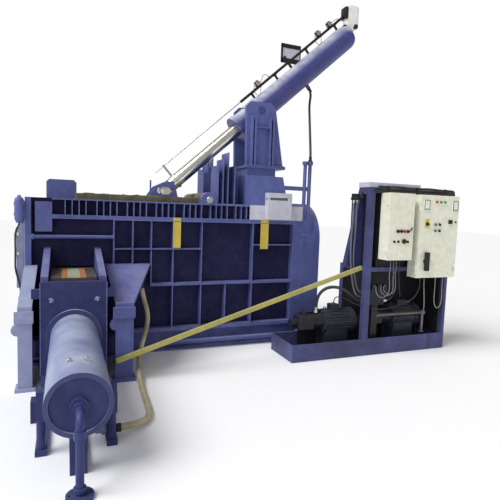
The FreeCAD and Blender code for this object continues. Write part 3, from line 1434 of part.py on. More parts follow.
    block_x = (size("valve_block_left", 2030), size("valve_block_right", 2275))
    block_z = (size("valve_block_foot", 560), size("valve_block_top", 720))
    block_y = (size("valve_block_near", -1150), size("valve_block_far", -1060))
    coil_radius = size("valve_coil_radius", 24)
    coil_length = size("valve_coil_length", 120)
    column_half = size("valve_column_half", 40)
    middle_y = (block_y[0] + block_y[1]) / 2
    middle_x = (block_x[0] + block_x[1]) / 2
    valves = [
        block(block_x, block_y, block_z),
        block(about(middle_x, column_half), about(middle_y, column_half), (skin, block_z[0])),
    ]
    valve_pitch = (block_x[1] - block_x[0]) / 3
    for k in range(3):
        x = block_x[0] + valve_pitch * k + valve_pitch / 2
        valve_z = (block_z[1], block_z[1] + coil_radius * 3)
        valves.append(block(about(x, coil_radius), block_y, valve_z))
        coil_y = (block_y[0] - coil_length / 2, block_y[1] + coil_length / 2)
        valves.append(bar("Y", (x, block_z[1] + coil_radius * 1.5), coil_radius * 0.9, coil_y))
    return node("valve_block", fuse(*valves))


panel_back = size("panel_back_y", -1230)
door_thickness = size("panel_door_thickness", 18)
door_gap = size("panel_door_gap", 1)
panel_sheet = size("panel_sheet_thickness", 3)
start_left = size("start_panel_left", 2092)
start_foot = size("start_panel_foot", 1106)
start_x = (start_left, start_left + size("start_panel_width", 328))
start_z = (start_foot, start_foot + size("start_panel_height", 737))
start_depth = size("start_panel_depth", 150)
main_left = start_x[1] + size("panel_gap", 95)
main_foot = size("main_panel_foot", 900)
main_x = (main_left, main_left + size("main_panel_width", 565))
main_z = (main_foot, main_foot + size("main_panel_height", 940))
main_depth = size("main_panel_depth", 135)
button_travel = size("button_travel", 5)
button_play = size("button_play", 0.5)


def door_front(depth):
    return panel_back - depth - door_gap - door_thickness


door_pin_radius = size("door_pin_radius", 7)
door_pin_offset = size("door_pin_offset", 8)


def door_pin(x, depth):
    """The spot of a door's hinge line: beside the door's left edge, midway through its thickness."""
    return (x[0] - door_pin_offset, door_front(depth) + door_thickness / 2)


def build_panels():
    """The two control cabinets as open shells, each with a door hinged on its left edge."""
    shells = []
    lip = size("door_lip", 12)
    lamp_radius = size("lamp_radius", 11)
    meter_half = size("meter_half", 36)
    meter_reach = size("meter_reach", 14)
    lock_radius = size("door_lock_radius", 10)
    knuckle_half = size("door_knuckle_half_length", 22)
    knuckle_inset = size("door_knuckle_inset", 110)
    leaf_half = size("door_leaf_half_thickness", 2.5)
    for x, z, depth in ((start_x, start_z, start_depth), (main_x, main_z, main_depth)):
        near = panel_back - depth
        shell = block(x, (near, panel_back), z)
        hollow = block(
            (x[0] + panel_sheet, x[1] - panel_sheet),
            (near - panel_sheet, panel_back - panel_sheet),
            (z[0] + panel_sheet, z[1] - panel_sheet),
        )
        pieces = [cut(shell, hollow)]
        pin = door_pin(x, depth)
        for level in (z[0] + knuckle_inset, z[1] - knuckle_inset):
            # The fixed knuckle and its arm lie between the door's two knuckles.
            arm = (pin[0] - door_pin_radius, x[0])
            pieces.append(bar("Z", pin, door_pin_radius, about(level, knuckle_half)))
            pieces.append(block(arm, (near + open_play, near + door_thickness * 2), about(level, knuckle_half)))
            stem = (pin[0] - door_pin_radius, pin[0] + door_pin_radius)
            pieces.append(block(stem, (pin[1], near + door_thickness), about(level, knuckle_half)))
        shells.append(fuse(*pieces))
    node("panel_cabinets", group(*shells))
    for name, x, z, depth in (
        ("start_panel_door", start_x, start_z, start_depth),
        ("main_panel_door", main_x, main_z, main_depth),
    ):
        front = door_front(depth)
        door_y = (front, front + door_thickness)
        door = block(x, door_y, z)
        hollow = block(
            (x[0] + lip, x[1] - lip),
            (front + panel_sheet, front + door_thickness + panel_sheet),
            (z[0] + lip, z[1] - lip),
        )
        pieces = [cut(door, hollow)]
        pin = door_pin(x, depth)
        for level in (z[0] + knuckle_inset, z[1] - knuckle_inset):
            for shift in (-2, 2):
                reach = about(level + (knuckle_half + open_play / 2) * shift, knuckle_half)
                pieces.append(bar("Z", pin, door_pin_radius, reach))
                leaf_x = (pin[0], x[0] + lip)
                pieces.append(block(leaf_x, about(pin[1], leaf_half), reach))
        holes = []
        for _, carrier, across, up, radius in controls:
            if carrier != name:
                continue
            spot = (x[0] + across, z[0] + up)
            holes.append(bar("Y", spot, radius * 0.6 + button_play, about(front, door_thickness * 2)))
        if name == "main_panel_door":
            meter_z = z[1] - size("meter_drop", 110)
            for across in (size("meter_a_across", 78), size("meter_b_across", 498)):
                spot = (x[0] + across, meter_z)
                meter_y = (front - meter_reach, front)
                pieces.append(block(about(spot[0], meter_half), meter_y, about(spot[1], meter_half * 1.4)))
            for across in (
                size("lamp_a_across", 225),
                size("lamp_b_across", 285),
                size("lamp_c_across", 345),
            ):
                spot = (x[0] + across, meter_z + meter_half)
                pieces.append(bar("Y", spot, lamp_radius, (front - meter_reach, front)))
            lock = (x[1] - lock_radius * 4, z[0] + lock_radius * 10)
            pieces.append(bar("Y", lock, lock_radius, (front - meter_reach, front)))
        door_solid = fuse(*pieces)
        if holes:
            door_solid = cut(door_solid, *holes)
        node(name, door_solid)


def build_controls():
    """Push buttons with a stem through the door, the stop button and the isolator handle."""
    doors = {START: (start_x, start_z, start_depth), MAIN: (main_x, main_z, main_depth)}
    cap_reach = size("button_cap_reach", 14)
    stem_reach = size("button_stem_reach", 24)
    for label, carrier, across, up, radius in controls:
        x, z, depth = doors[carrier]
        front = door_front(depth)
        spot = (x[0] + across, z[0] + up)
        gap = button_travel + button_play
        cap_y = (front - gap - cap_reach, front - gap)
        stem_y = (cap_y[1], cap_y[1] + stem_reach)
        cap = bar("Y", spot, radius, cap_y)
        if label == "isolator_handle":
            handle_half = size("isolator_half_width", 26)
            handle_rise = size("isolator_half_height", 105)
            grip_y = (cap_y[0] - cap_reach * 2, cap_y[0])
            cap = fuse(cap, block(about(spot[0], handle_half), grip_y, about(spot[1], handle_rise)))
        node(label, fuse(cap, bar("Y", spot, radius * 0.6, stem_y)))


button_radius = size("button_radius", 16)
stop_radius = size("stop_button_radius", 24)
small_radius = size("small_button_radius", 13)
hub_radius = size("isolator_hub_radius", 30)
start_row = size("start_row_height", 320)
lower_row = size("lower_row_height", 210)
main_row = size("main_row_height", 610)
second_row = main_row - size("main_row_gap", 70)
START = "start_panel_door"
MAIN = "main_panel_door"
# Each control: its node, the door it is on, how far across and up it sits, and its radius.
controls = [
    ("start_button", START, size("start_button_across", 110), start_row, button_radius),
    ("reverse_button", START, size("reverse_button_across", 155), start_row, button_radius),
    ("halt_button", START, size("halt_button_across", 200), start_row, button_radius),
    ("jog_button", START, size("jog_button_across", 245), start_row, button_radius),
    ("stop_button", START, size("stop_button_across", 200), lower_row, stop_radius),
    ("lid_up_button", MAIN, size("lid_up_across", 225), main_row, small_radius),
    ("lid_down_button", MAIN, size("lid_down_across", 285), main_row, small_radius),
    ("ram_out_button", MAIN, size("ram_out_across", 225), second_row, small_radius),
    ("ram_back_button", MAIN, size("ram_back_across", 285), second_row, small_radius),
    ("isolator_handle", MAIN, size("isolator_across", 110), size("isolator_up", 190), hub_radius),
]


def swept_hose(name, points, radius):
    """A round hose through chosen points: straight runs joined by tangent arcs."""
    spots = [V(*point) for point in points]
    edges = []
    start = spots[0]
    length = 0
    for before, corner, after in zip(spots, spots[1:], spots[2:]):
        run_in = corner - before
        run_out = after - corner
        turn = run_in.getAngle(run_out)
        bend = 0.45 * min(run_in.Length, run_out.Length) / math.tan(turn / 2)
        reach = bend * math.tan(turn / 2)
        arc_start = corner - run_in.normalize() * reach
        arc_end = corner + run_out.normalize() * reach
        inward = (arc_end - corner) + (arc_start - corner)
        middle = corner + inward.normalize() * (bend / math.cos(turn / 2) - bend)
        edges.append(Part.LineSegment(start, arc_start).toShape())
        edges.append(Part.Arc(arc_start, middle, arc_end).toShape())
        print(f"{name} turn {math.degrees(turn):.0f} radius {bend:.0f}")
        start = arc_end
    edges.append(Part.LineSegment(start, spots[-1]).toShape())
    path = Part.Wire(edges)
    ring = Part.Wire(Part.makeCircle(radius, spots[0], spots[1] - spots[0]))
    solid = path.makePipeShell([ring], True, False)
    volume = math.pi * radius**2 * path.Length
    print(f"{name} length {path.Length:.0f} volume against section times length {solid.Volume / volume:.4f}")
    hose = doc.addObject("Part::Feature", name)
    hose.Shape = solid
    hose.Placement = FreeCAD.Placement(V(0, 0, 0), LEVEL)
    return node(name, hose)


def build_hoses():
    """The ram's oil hose along the floor and the lid cylinder's hose down to the standpipes."""
    lid_hose_radius = size("lid_hose_radius", 15)
    ram_route = [
        tuple(number(amount) for amount in ram_hose_top),
        (-430, -650, 755),
        (-405, -658, 640),
        (-372, -680, 525),
        (-371, -722, 415),
        (-408, -785, 315),
        (-455, -880, 225),
        (-497, -1005, 148),
        (-522, -1155, 88),
        (-538, -1325, 48),
        (-547, -1510, 30),
        (-552, -1700, 27.5),
        (-556, -1880, 27),
        (-566, -2042, 28),
        (-614, -2144, 39),
        (-695, -2221, 55),
        (-799, -2262, 68),
        tuple(number(amount) for amount in ram_hose_end),
    ]
    swept_hose("ram_hose", ram_route, ram_hose_radius.value)
    lid_route = [
        (1784, 0, 3214.1),
        (1836, 0, 3156.3),
        (1868, -8, 3075),
        (1868, -38, 2975),
        (1840, -95, 2850),
        (1790, -175, 2715),
        (1730, -265, 2575),
        (1675, -345, 2445),
        (1638, -399, 2345),
        (1625.3, -420, 2280),
        (1625.3, -420, 2215),
    ]
    return swept_hose("lid_hose", lid_route, lid_hose_radius.value)


build_floor_frame()
build_walls()
build_stiffeners()
build_left_end()
build_floor_and_covers()
build_crosshead()
build_main_cylinder()
build_trough()
build_mounting_plate()
build_side_cylinder()
build_supply_pipe()
build_legs()
build_cylinder_stand()
build_gate()
build_hinge()
build_lid()
build_lid_cylinder()
build_position_indicator()
build_clevis()
build_pedestal()
build_rail_fittings()
build_low_fittings()
build_power_unit()
build_panels()
build_controls()
build_hoses()
doc.recompute()

for item in doc.Objects:
    if "Invalid" in item.State or "Error" in item.State:
        raise RuntimeError(f"{item.Name} ({item.Label}) did not build: {item.State}")
os.makedirs("parts", exist_ok=True)
for item in nodes:
    if item.Shape.isNull() or not item.Shape.isValid():
        raise RuntimeError(f"{item.Label} has no valid shape")
    item.Shape.exportStep(f"parts/{item.Label}.step")
print(len(nodes), "sub-parts written")
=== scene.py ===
# %% [markdown]
# # A scrap baling press, dressed for a photograph
# The press squeezes loose scrap metal into a block. A lid folds down over a chamber, a main ram
# pushes along it, and a side ram squeezes the last way and pushes the bale out through a gate.
# The solids come from the CAD frame, already at real size and in the right place. This lesson
# gives them worn paint, oily steel and dust, and adds what is too fine for the solids: cables,
# switches, gauges, welds, bolts and dirt.

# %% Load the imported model
import math

import bpy
from mathutils import Matrix, Vector


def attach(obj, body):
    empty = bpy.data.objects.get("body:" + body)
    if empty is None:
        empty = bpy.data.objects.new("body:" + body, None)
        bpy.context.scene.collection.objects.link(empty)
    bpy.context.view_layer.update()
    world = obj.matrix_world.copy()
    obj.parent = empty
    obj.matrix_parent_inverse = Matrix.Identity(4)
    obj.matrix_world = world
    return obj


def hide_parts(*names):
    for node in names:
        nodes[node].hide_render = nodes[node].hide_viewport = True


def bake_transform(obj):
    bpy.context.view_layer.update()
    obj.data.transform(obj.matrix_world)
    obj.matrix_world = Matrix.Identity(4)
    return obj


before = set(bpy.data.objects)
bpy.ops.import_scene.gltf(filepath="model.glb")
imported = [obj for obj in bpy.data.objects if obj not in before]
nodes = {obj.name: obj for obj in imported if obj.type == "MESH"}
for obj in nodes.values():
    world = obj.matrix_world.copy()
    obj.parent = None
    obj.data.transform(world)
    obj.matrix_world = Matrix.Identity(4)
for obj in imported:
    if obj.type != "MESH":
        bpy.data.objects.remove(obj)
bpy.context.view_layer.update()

# %% [markdown]
# ## The camera
# The photo was taken from the near left corner, about 1.6 m above the floor, along the press and
# with the camera tipped down a little. The horizon also leans slightly, so the camera is rolled
# by the same two degrees.

# %% The camera
CAMERA_SPOT = (-1.165, -5.4, 1.6)
LOOK_RIGHT, LOOK_DOWN, ROLL = (math.radians(angle) for angle in (22.2, 5.0, 2.0))
SENSOR_WIDTH = 36
FOCAL_PIXELS, PHOTO_PIXELS = 455, 500
bpy.ops.object.select_all(action="DESELECT")
bpy.ops.object.camera_add(location=CAMERA_SPOT)
camera = bpy.context.object
turn = Matrix.Rotation(-LOOK_RIGHT, 4, "Z") @ Matrix.Rotation(math.pi / 2 - LOOK_DOWN, 4, "X")
camera.matrix_world = Matrix.Translation(CAMERA_SPOT) @ turn @ Matrix.Rotation(ROLL, 4, "Z")
camera.data.sensor_width = SENSOR_WIDTH
camera.data.lens = SENSOR_WIDTH * FOCAL_PIXELS / PHOTO_PIXELS
camera.data.clip_end = 200
bpy.context.scene.camera = camera
print(f"camera lens {camera.data.lens:.1f} mm at {CAMERA_SPOT}")

# %% [markdown]
# ## Floor and light
# A studio floor without a visible edge: a big pale plane, and a world that looks white where
# the camera or a reflection sees it, but lights the press more gently. A soft sun stands in for
# daylight from above, and a wide lamp near the camera opens the shadows a little.

# %% The floor
FLOOR_WIDTH, FLOOR_LEVEL = 80, -0.002
bpy.ops.object.select_all(action="DESELECT")
bpy.ops.mesh.primitive_plane_add(size=FLOOR_WIDTH, location=(0, 0, FLOOR_LEVEL))
floor = bpy.context.object
floor.name = "studio_floor"
floor_paint = bpy.data.materials.new("studio_floor")
floor_paint.use_nodes = True
floor_shader = floor_paint.node_tree.nodes["Principled BSDF"]
for setting, value in {
    "Base Color": (0.93, 0.93, 0.94, 1), "Roughness": 0.9, "Specular IOR Level": 0.1,
}.items():
    floor_shader.inputs[setting].default_value = value
floor.data.materials.append(floor_paint)
print("floor", floor.dimensions[:])

# %% The world and the lamps
WORLD_LIGHT, SUN_POWER, FILL_POWER = 0.38, 2.7, 140
FILL_SPOT, FILL_AIM = (-4.5, -9.0, 4.5), (0.6, 0, 1.0)
world = bpy.data.worlds.new("studio")
bpy.context.scene.world = world
world.use_nodes = True
tree = world.node_tree
rays = tree.nodes.new("ShaderNodeLightPath")
seen = tree.nodes.new("ShaderNodeMath")
seen.operation = "MAXIMUM"
tree.links.new(rays.outputs["Is Camera Ray"], seen.inputs[0])
tree.links.new(rays.outputs["Is Transmission Ray"], seen.inputs[1])
strength = tree.nodes.new("ShaderNodeMapRange")
strength.inputs["To Min"].default_value = WORLD_LIGHT
strength.inputs["To Max"].default_value = 1.0
tree.links.new(seen.outputs[0], strength.inputs["Value"])
background = tree.nodes["Background"]
background.inputs["Color"].default_value = (1, 1, 1, 1)
tree.links.new(strength.outputs["Result"], background.inputs["Strength"])

bpy.ops.object.light_add(type="SUN", location=(0, 0, 8), rotation=(math.radians(8), math.radians(-40), 0))
sun = bpy.context.object
sun.name = "window_light"
sun.data.energy = SUN_POWER
sun.data.angle = math.radians(35)
bpy.ops.object.light_add(type="AREA", location=FILL_SPOT)
fill = bpy.context.object
fill.name = "front_fill"
fill.data.size = 6
fill.data.energy = FILL_POWER
fill.rotation_euler = (Vector(FILL_AIM) - fill.location).to_track_quat("-Z", "Y").to_euler()
bpy.context.scene.view_settings.view_transform = "Standard"
print("world", WORLD_LIGHT, "sun", SUN_POWER, "fill", FILL_POWER)

# %% [markdown]
# ## Effects that every finish shares
# Three things age a machine: paint rubs off along the edges, dust settles on what faces up, and
# the colour itself goes patchy with oil and handling. Each effect is a node group that gives out
# only a mask or a value, so every material can use it with its own amounts.
# On a few finishes the dust and edge masks also carry painted top light and painted edge highlights.

# %% A helper for node groups
def effect_group(title, inputs):
    """An empty shader group with named inputs, a mask for its output, and its two end nodes."""
    group = bpy.data.node_groups.new(title, "ShaderNodeTree")
    for name, default in inputs.items():
        socket = group.interface.new_socket(name, in_out="INPUT", socket_type="NodeSocketFloat")
        socket.default_value = default
    group.interface.new_socket("Mask", in_out="OUTPUT", socket_type="NodeSocketFloat")
    return group, group.nodes.new("NodeGroupInput"), group.nodes.new("NodeGroupOutput")


def feed(tree, socket, value):
    """Sets a socket to a number or a colour, or links another socket to it."""
    if isinstance(value, tuple):
        socket.default_value = (*value, 1)
    elif isinstance(value, (int, float)):
        socket.default_value = value
    else:
        tree.links.new(value, socket)


def math_node(tree, operation, first, second, clamp=False):
    """A Math node; each argument is a socket or a plain number."""
    made = tree.nodes.new("ShaderNodeMath")
    made.operation = operation
    made.use_clamp = clamp
    feed(tree, made.inputs[0], first)
    feed(tree, made.inputs[1], second)
    return made.outputs[0]


def noise(tree, scale, detail, roughness, vector=None):
    """Noise on Object coordinates; scale is a socket or a number."""
    made = tree.nodes.new("ShaderNodeTexNoise")
    made.inputs["Detail"].default_value = detail
    made.inputs["Roughness"].default_value = roughness
    feed(tree, made.inputs["Scale"], scale)
    if vector is None:
        vector = tree.nodes.new("ShaderNodeTexCoord").outputs["Object"]
    tree.links.new(vector, made.inputs["Vector"])
    return made.outputs["Fac"]


def map_range(tree, value, **limits):
    """Maps a value between the limits that are given, such as From_Min, and clamps the rest."""
    made = tree.nodes.new("ShaderNodeMapRange")
    for name, amount in limits.items():
        made.inputs[name.replace("_", " ")].default_value = amount
    tree.links.new(value, made.inputs["Value"])
    return made.outputs["Result"]


def window(tree, value, low, high):
    """Stretches low..high of a value to 0..1."""
    return map_range(tree, value, From_Min=low, From_Max=high)


def give_mask(group, given, result, mask):
    """Gives out a mask, scaled by the group's own amount."""
    scaled = math_node(group, "MULTIPLY", mask, given.outputs["Amount"], True)
    group.links.new(scaled, result.inputs["Mask"])


print("node helpers ready")

# %% [markdown]
# **Edge wear.** The Bevel node gives the normal that a rounded edge would have. Where it differs
# from the flat face's own normal there is an edge, and a noise breaks that line up into chips.

# %% The edge wear group
edge_wear, given, result = effect_group(
    "edge_wear", {"Radius": 0.006, "Amount": 0.5, "Chip Scale": 30.0}
)
rounded = edge_wear.nodes.new("ShaderNodeBevel")
rounded.samples = 4
edge_wear.links.new(given.outputs["Radius"], rounded.inputs["Radius"])
flat = edge_wear.nodes.new("ShaderNodeNewGeometry")
product = edge_wear.nodes.new("ShaderNodeVectorMath")
product.operation = "DOT_PRODUCT"
edge_wear.links.new(rounded.outputs["Normal"], product.inputs[0])
edge_wear.links.new(flat.outputs["Normal"], product.inputs[1])
edge = window(edge_wear, product.outputs["Value"], 0.995, 0.85)
chips = window(edge_wear, noise(edge_wear, given.outputs["Chip Scale"], 6.0, 0.7), 0.42, 0.62)
give_mask(edge_wear, given, result, math_node(edge_wear, "MULTIPLY", edge, chips))
print("edge wear group", len(edge_wear.nodes), "nodes")

# %% [markdown]
# ** Settled dust.** What faces up collects dust. The object's own normal says which way a face
# looks, so the dust stays on its face when a lid or a door turns. On the press's blue and the two
# barrels the same mask also lays painted light on the tops.

# %% The dust and top light group
dust_and_top_light_group, given, result = effect_group("dust_and_top_light", {"Amount": 0.5, "Patch Scale": 3.0})
own_normal = dust_and_top_light_group.nodes.new("ShaderNodeTexCoord").outputs["Normal"]
parts = dust_and_top_light_group.nodes.new("ShaderNodeSeparateXYZ")
dust_and_top_light_group.links.new(own_normal, parts.inputs[0])
upward = window(dust_and_top_light_group, parts.outputs["Z"], 0.25, 0.95)
patches = window(dust_and_top_light_group, noise(dust_and_top_light_group, given.outputs["Patch Scale"], 6.0, 0.65), 0.25, 0.7)
give_mask(dust_and_top_light_group, given, result, math_node(dust_and_top_light_group, "MULTIPLY", upward, patches))
print("dust group", len(dust_and_top_light_group.nodes), "nodes")

# %% [markdown]
# **Grime.** Oil and dirt darken paint in large soft patches and in thin runs that follow gravity.
# The runs are noise that is squeezed along Z.

# %% The grime group
grime, given, result = effect_group("grime", {"Patch Scale": 1.6, "Run Scale": 14.0, "Amount": 0.5})
spot = grime.nodes.new("ShaderNodeTexCoord")
squeeze = grime.nodes.new("ShaderNodeMapping")
squeeze.inputs["Scale"].default_value = (1, 1, 0.09)
grime.links.new(spot.outputs["Object"], squeeze.inputs["Vector"])
runs = window(grime, noise(grime, given.outputs["Run Scale"], 3.0, 0.6, squeeze.outputs[0]), 0.5, 0.78)
patches = window(grime, noise(grime, given.outputs["Patch Scale"], 5.0, 0.6), 0.38, 0.72)
both = math_node(grime, "MAXIMUM", patches, math_node(grime, "MULTIPLY", runs, 0.75))
give_mask(grime, given, result, both)
print("grime group", len(grime.nodes), "nodes")

# %% [markdown]
# ## Finishes
# One function lays the coats in the order of the real thing: paint, grime in the paint, bare
# metal or primer at the edges, and dust on top. On some finishes the edge and dust colours are also
# painted edge highlights and painted light on the tops. Each finish is then one call with its own values.

# %% The coat builder
def place_group(tree, group, **values):
    """A node group in a material, its inputs set by name (an underscore stands for a space)."""
    made = tree.nodes.new("ShaderNodeGroup")
    made.node_tree = group
    for name, value in values.items():
        made.inputs[name.replace("_", " ")].default_value = value
    return made.outputs["Mask"]


def blend_colours(tree, mask, under, over):
    """Mixes two colours by a mask; each is a socket or a plain colour."""
    made = tree.nodes.new("ShaderNodeMix")
    made.data_type = "RGBA"
    tree.links.new(mask, made.inputs["Factor"])
    for name, colour in (("A", under), ("B", over)):
        sockets = [socket for socket in made.inputs if socket.name == name and socket.type == "RGBA"]
        feed(tree, sockets[0], colour)
    return [socket for socket in made.outputs if socket.type == "RGBA"][0]


def new_material(title):
    """A material with its node tree and its shader."""
    material = bpy.data.materials.new(title)
    material.use_nodes = True
    return material, material.node_tree, material.node_tree.nodes["Principled BSDF"]


def dull_by(tree, shader, mask, rough):
    """Makes the shader rougher where a mask is high; rough is the roughness at 0 and at 1."""
    roughness = map_range(tree, mask, To_Min=rough[0], To_Max=rough[1])
    tree.links.new(roughness, shader.inputs["Roughness"])


def emboss(tree, shader, height, strength, depth):
    """Gives the shader a relief."""
    made = tree.nodes.new("ShaderNodeBump")
    made.inputs["Strength"].default_value = strength
    made.inputs["Distance"].default_value = depth
    tree.links.new(height, made.inputs["Height"])
    tree.links.new(made.outputs["Normal"], shader.inputs["Normal"])


# A navy that is the press's blue darkened as painted shade.
SHADE_NAVY = (0.026, 0.034, 0.135)
PAINT_RELIEF, WEAVE_RELIEF = 0.002, 0.0015


def coated(
    title, paint, dark, dust, bare, grime_amount, dust_amount, wear, rough=(0.38, 0.7), metal=0.0,
    bump=0.25, grain=90.0, patch=1.6, coat=0.0, edge_size=0.005, ends=(), shine=0.25,
):
    """A painted or bare metal finish with grime, worn edges and settled dust, whose edge and dust colours on
    some finishes are painted highlights and painted top light; ends are bands along Y painted navy as painted
    shade.
    """
    material, tree, shader = new_material(title)
    # On some finishes the dust mask also lays painted light on the tops, and the edge mask a painted
    # highlight.
    grime_mask = place_group(tree, grime, Patch_Scale=patch, Amount=grime_amount)
    wear_and_highlight_mask = place_group(tree, edge_wear, Radius=edge_size, Amount=wear)
    dust_and_top_light_mask = place_group(tree, dust_and_top_light_group, Amount=dust_amount)
    shade = window(tree, noise(tree, patch * 9, 5.0, 0.6), 0.3, 0.75)
    tint = tuple(min(1, channel * 1.22 + 0.01) for channel in paint)
    colour = blend_colours(tree, shade, paint, tint)
    # The ends are bands along Y painted navy as painted shade.
    if ends:
        spot = tree.nodes.new("ShaderNodeTexCoord")
        parts = tree.nodes.new("ShaderNodeSeparateXYZ")
        tree.links.new(spot.outputs["Object"], parts.inputs[0])
        bands = [window(tree, parts.outputs["Y"], *band) for band in ends]
        colour = blend_colours(tree, math_node(tree, "MAXIMUM", *bands), colour, SHADE_NAVY)
    for mask, over in ((grime_mask, dark), (wear_and_highlight_mask, bare), (dust_and_top_light_mask, dust)):
        colour = blend_colours(tree, mask, colour, over)
    tree.links.new(colour, shader.inputs["Base Color"])
    dull_by(tree, shader, math_node(tree, "MAXIMUM", grime_mask, dust_and_top_light_mask), rough)
    shader.inputs["Metallic"].default_value = metal
    shader.inputs["Specular IOR Level"].default_value = shine
    shader.inputs["Coat Weight"].default_value = coat
    fine = math_node(tree, "ADD", noise(tree, grain, 6.0, 0.65), math_node(tree, "MULTIPLY", shade, 0.6))
    emboss(tree, shader, fine, bump, PAINT_RELIEF)
    return material


print("coat builder ready")

# %% [markdown]
# ** The press's paint** is a blue with violet in it, brushed thick over rough steel. The bays of
# the wall get a much darker blue than the flanges: painted shade, for the shadow that falls into
# them between the flanges.

# %% The finishes
# The press's lilac dust and its pale lilac edge colour are partly dust and wear, partly painted top light and
# painted edge highlights.
LILAC_DUST_AND_TOP_LIGHT = (0.30, 0.31, 0.50)
DARK_OIL = (0.012, 0.012, 0.035)
blue = coated(
    "press_blue", (0.098, 0.118, 0.322), DARK_OIL, LILAC_DUST_AND_TOP_LIGHT, (0.36, 0.38, 0.58),
    0.42, 0.60, 0.95, edge_size=0.006,
)
unit_blue = coated(
    "unit_blue", (0.062, 0.070, 0.195), (0.030, 0.026, 0.030), (0.16, 0.16, 0.25), (0.20, 0.21, 0.36),
    0.75, 0.35, 0.7,
)
# The wall bays' near-black blue is painted shade.
painted_shade_blue = coated(
    "wall_painted_shade", (0.014, 0.014, 0.060), (0.005, 0.004, 0.016), (0.05, 0.05, 0.11), (0.06, 0.06, 0.16),
    0.6, 0.4, 0.3, rough=(0.6, 0.85), shine=0.12,
)
# The side cylinder's end cap, its mounting plate, the supply pipe and the stand are painted this navy as
# painted shade.
shaded_navy = coated("shaded_navy_paint", SHADE_NAVY, DARK_OIL, (0.14, 0.15, 0.27), (0.14, 0.15, 0.28), 0.4, 0.35, 0.6)
# The side barrel's heavy pale dust on its top is partly painted top light, and its two end bands are painted
# navy as painted shade.
light_blue = coated(
    "barrel_blue", (0.165, 0.210, 0.390), (0.10, 0.115, 0.22), (0.44, 0.47, 0.60), (0.5, 0.52, 0.68),
    0.35, 1.1, 0.4, rough=(0.3, 0.55), coat=0.2, ends=((-2.726, -2.732), (-1.274, -1.268)),
)
cream = coated(
    "cabinet_cream", (0.74, 0.74, 0.62), (0.50, 0.48, 0.36), (0.78, 0.77, 0.68), (0.5, 0.5, 0.42),
    0.24, 0.2, 0.2, rough=(0.35, 0.55), bump=0.12, grain=240.0, edge_size=0.003,
)
pale = coated(
    "pale_paint", (0.52, 0.52, 0.60), (0.20, 0.20, 0.28), (0.60, 0.60, 0.66), (0.4, 0.4, 0.5),
    0.4, 0.4, 0.4,
)
lilac = coated(
    "lilac_paint", (0.27, 0.30, 0.46), (0.10, 0.11, 0.22), (0.46, 0.49, 0.60), (0.46, 0.47, 0.60),
    0.35, 0.45, 0.5,
)
# The lid cylinder's pale top is painted light: a high dust amount lays a pale colour over its upper half.
lid_barrel_dust_and_top_light = coated(
    "lid_barrel_dust_and_top_light", (0.055, 0.060, 0.215), (0.020, 0.020, 0.075), (0.50, 0.52, 0.60), (0.30, 0.31, 0.48),
    0.45, 2.4, 0.4, rough=(0.32, 0.6), coat=0.15,
)
olive = coated(
    "duct_olive", (0.42, 0.38, 0.115), (0.16, 0.14, 0.05), (0.55, 0.52, 0.30), (0.60, 0.57, 0.32),
    0.45, 0.35, 0.6, edge_size=0.004,
)
lid_crust = coated(
    "lid_crust", (0.150, 0.135, 0.075), (0.045, 0.042, 0.035), (0.26, 0.24, 0.17), (0.30, 0.29, 0.22),
    0.8, 0.7, 0.6, rough=(0.75, 0.95), bump=0.9, grain=60.0, patch=7.0,
)
worn_steel = coated(
    "worn_steel", (0.20, 0.19, 0.18), (0.05, 0.04, 0.035), (0.30, 0.27, 0.22), (0.55, 0.54, 0.52),
    0.7, 0.5, 0.8, rough=(0.35, 0.75), metal=0.75, bump=0.4,
)
# This oily steel is made darker than oil alone would make it, as painted shade for the dim inside of the
# power unit.
oily_shaded_steel = coated(
    "oily_shaded_steel", (0.026, 0.027, 0.034), (0.012, 0.012, 0.014), (0.09, 0.09, 0.10), (0.30, 0.30, 0.32),
    0.6, 0.35, 0.6, rough=(0.28, 0.6), metal=0.4,
)
# The motors' near-black paint is painted shade for the dim inside of the power unit.
motor_paint = coated(
    "motor_paint", (0.024, 0.028, 0.045), (0.010, 0.010, 0.013), (0.12, 0.12, 0.14), (0.25, 0.25, 0.28),
    0.6, 0.45, 0.5, rough=(0.35, 0.7),
)
machined = coated(
    "machined_steel", (0.55, 0.55, 0.57), (0.20, 0.19, 0.18), (0.40, 0.39, 0.36), (0.7, 0.7, 0.7),
    0.4, 0.2, 0.4, rough=(0.25, 0.5), metal=1.0, bump=0.15,
)
rod_chrome = coated(
    "rod_chrome", (0.80, 0.78, 0.70), (0.42, 0.39, 0.31), (0.62, 0.58, 0.48), (0.9, 0.9, 0.88),
    0.45, 0.25, 0.2, rough=(0.14, 0.38), metal=1.0, bump=0.06, patch=2.6,
)
black_gloss = coated(
    "button_black", (0.012, 0.012, 0.014), (0.02, 0.02, 0.02), (0.05, 0.05, 0.05), (0.06, 0.06, 0.06),
    0.3, 0.3, 0.3, rough=(0.22, 0.45), bump=0.05, edge_size=0.002,
)
red_gloss = coated(
    "button_red", (0.55, 0.022, 0.018), (0.20, 0.01, 0.01), (0.50, 0.12, 0.10), (0.7, 0.2, 0.18),
    0.3, 0.2, 0.3, rough=(0.22, 0.45), bump=0.05, edge_size=0.002,
)
green_gloss = coated(
    "button_green", (0.02, 0.22, 0.085), (0.01, 0.08, 0.03), (0.12, 0.30, 0.2), (0.1, 0.4, 0.2),
    0.3, 0.2, 0.3, rough=(0.22, 0.45), bump=0.05, edge_size=0.002,
)
white_plastic = coated(
    "white_plastic", (0.78, 0.78, 0.74), (0.45, 0.44, 0.38), (0.70, 0.69, 0.64), (0.8, 0.8, 0.8),
    0.25, 0.25, 0.2, rough=(0.3, 0.55), bump=0.08, edge_size=0.002,
)
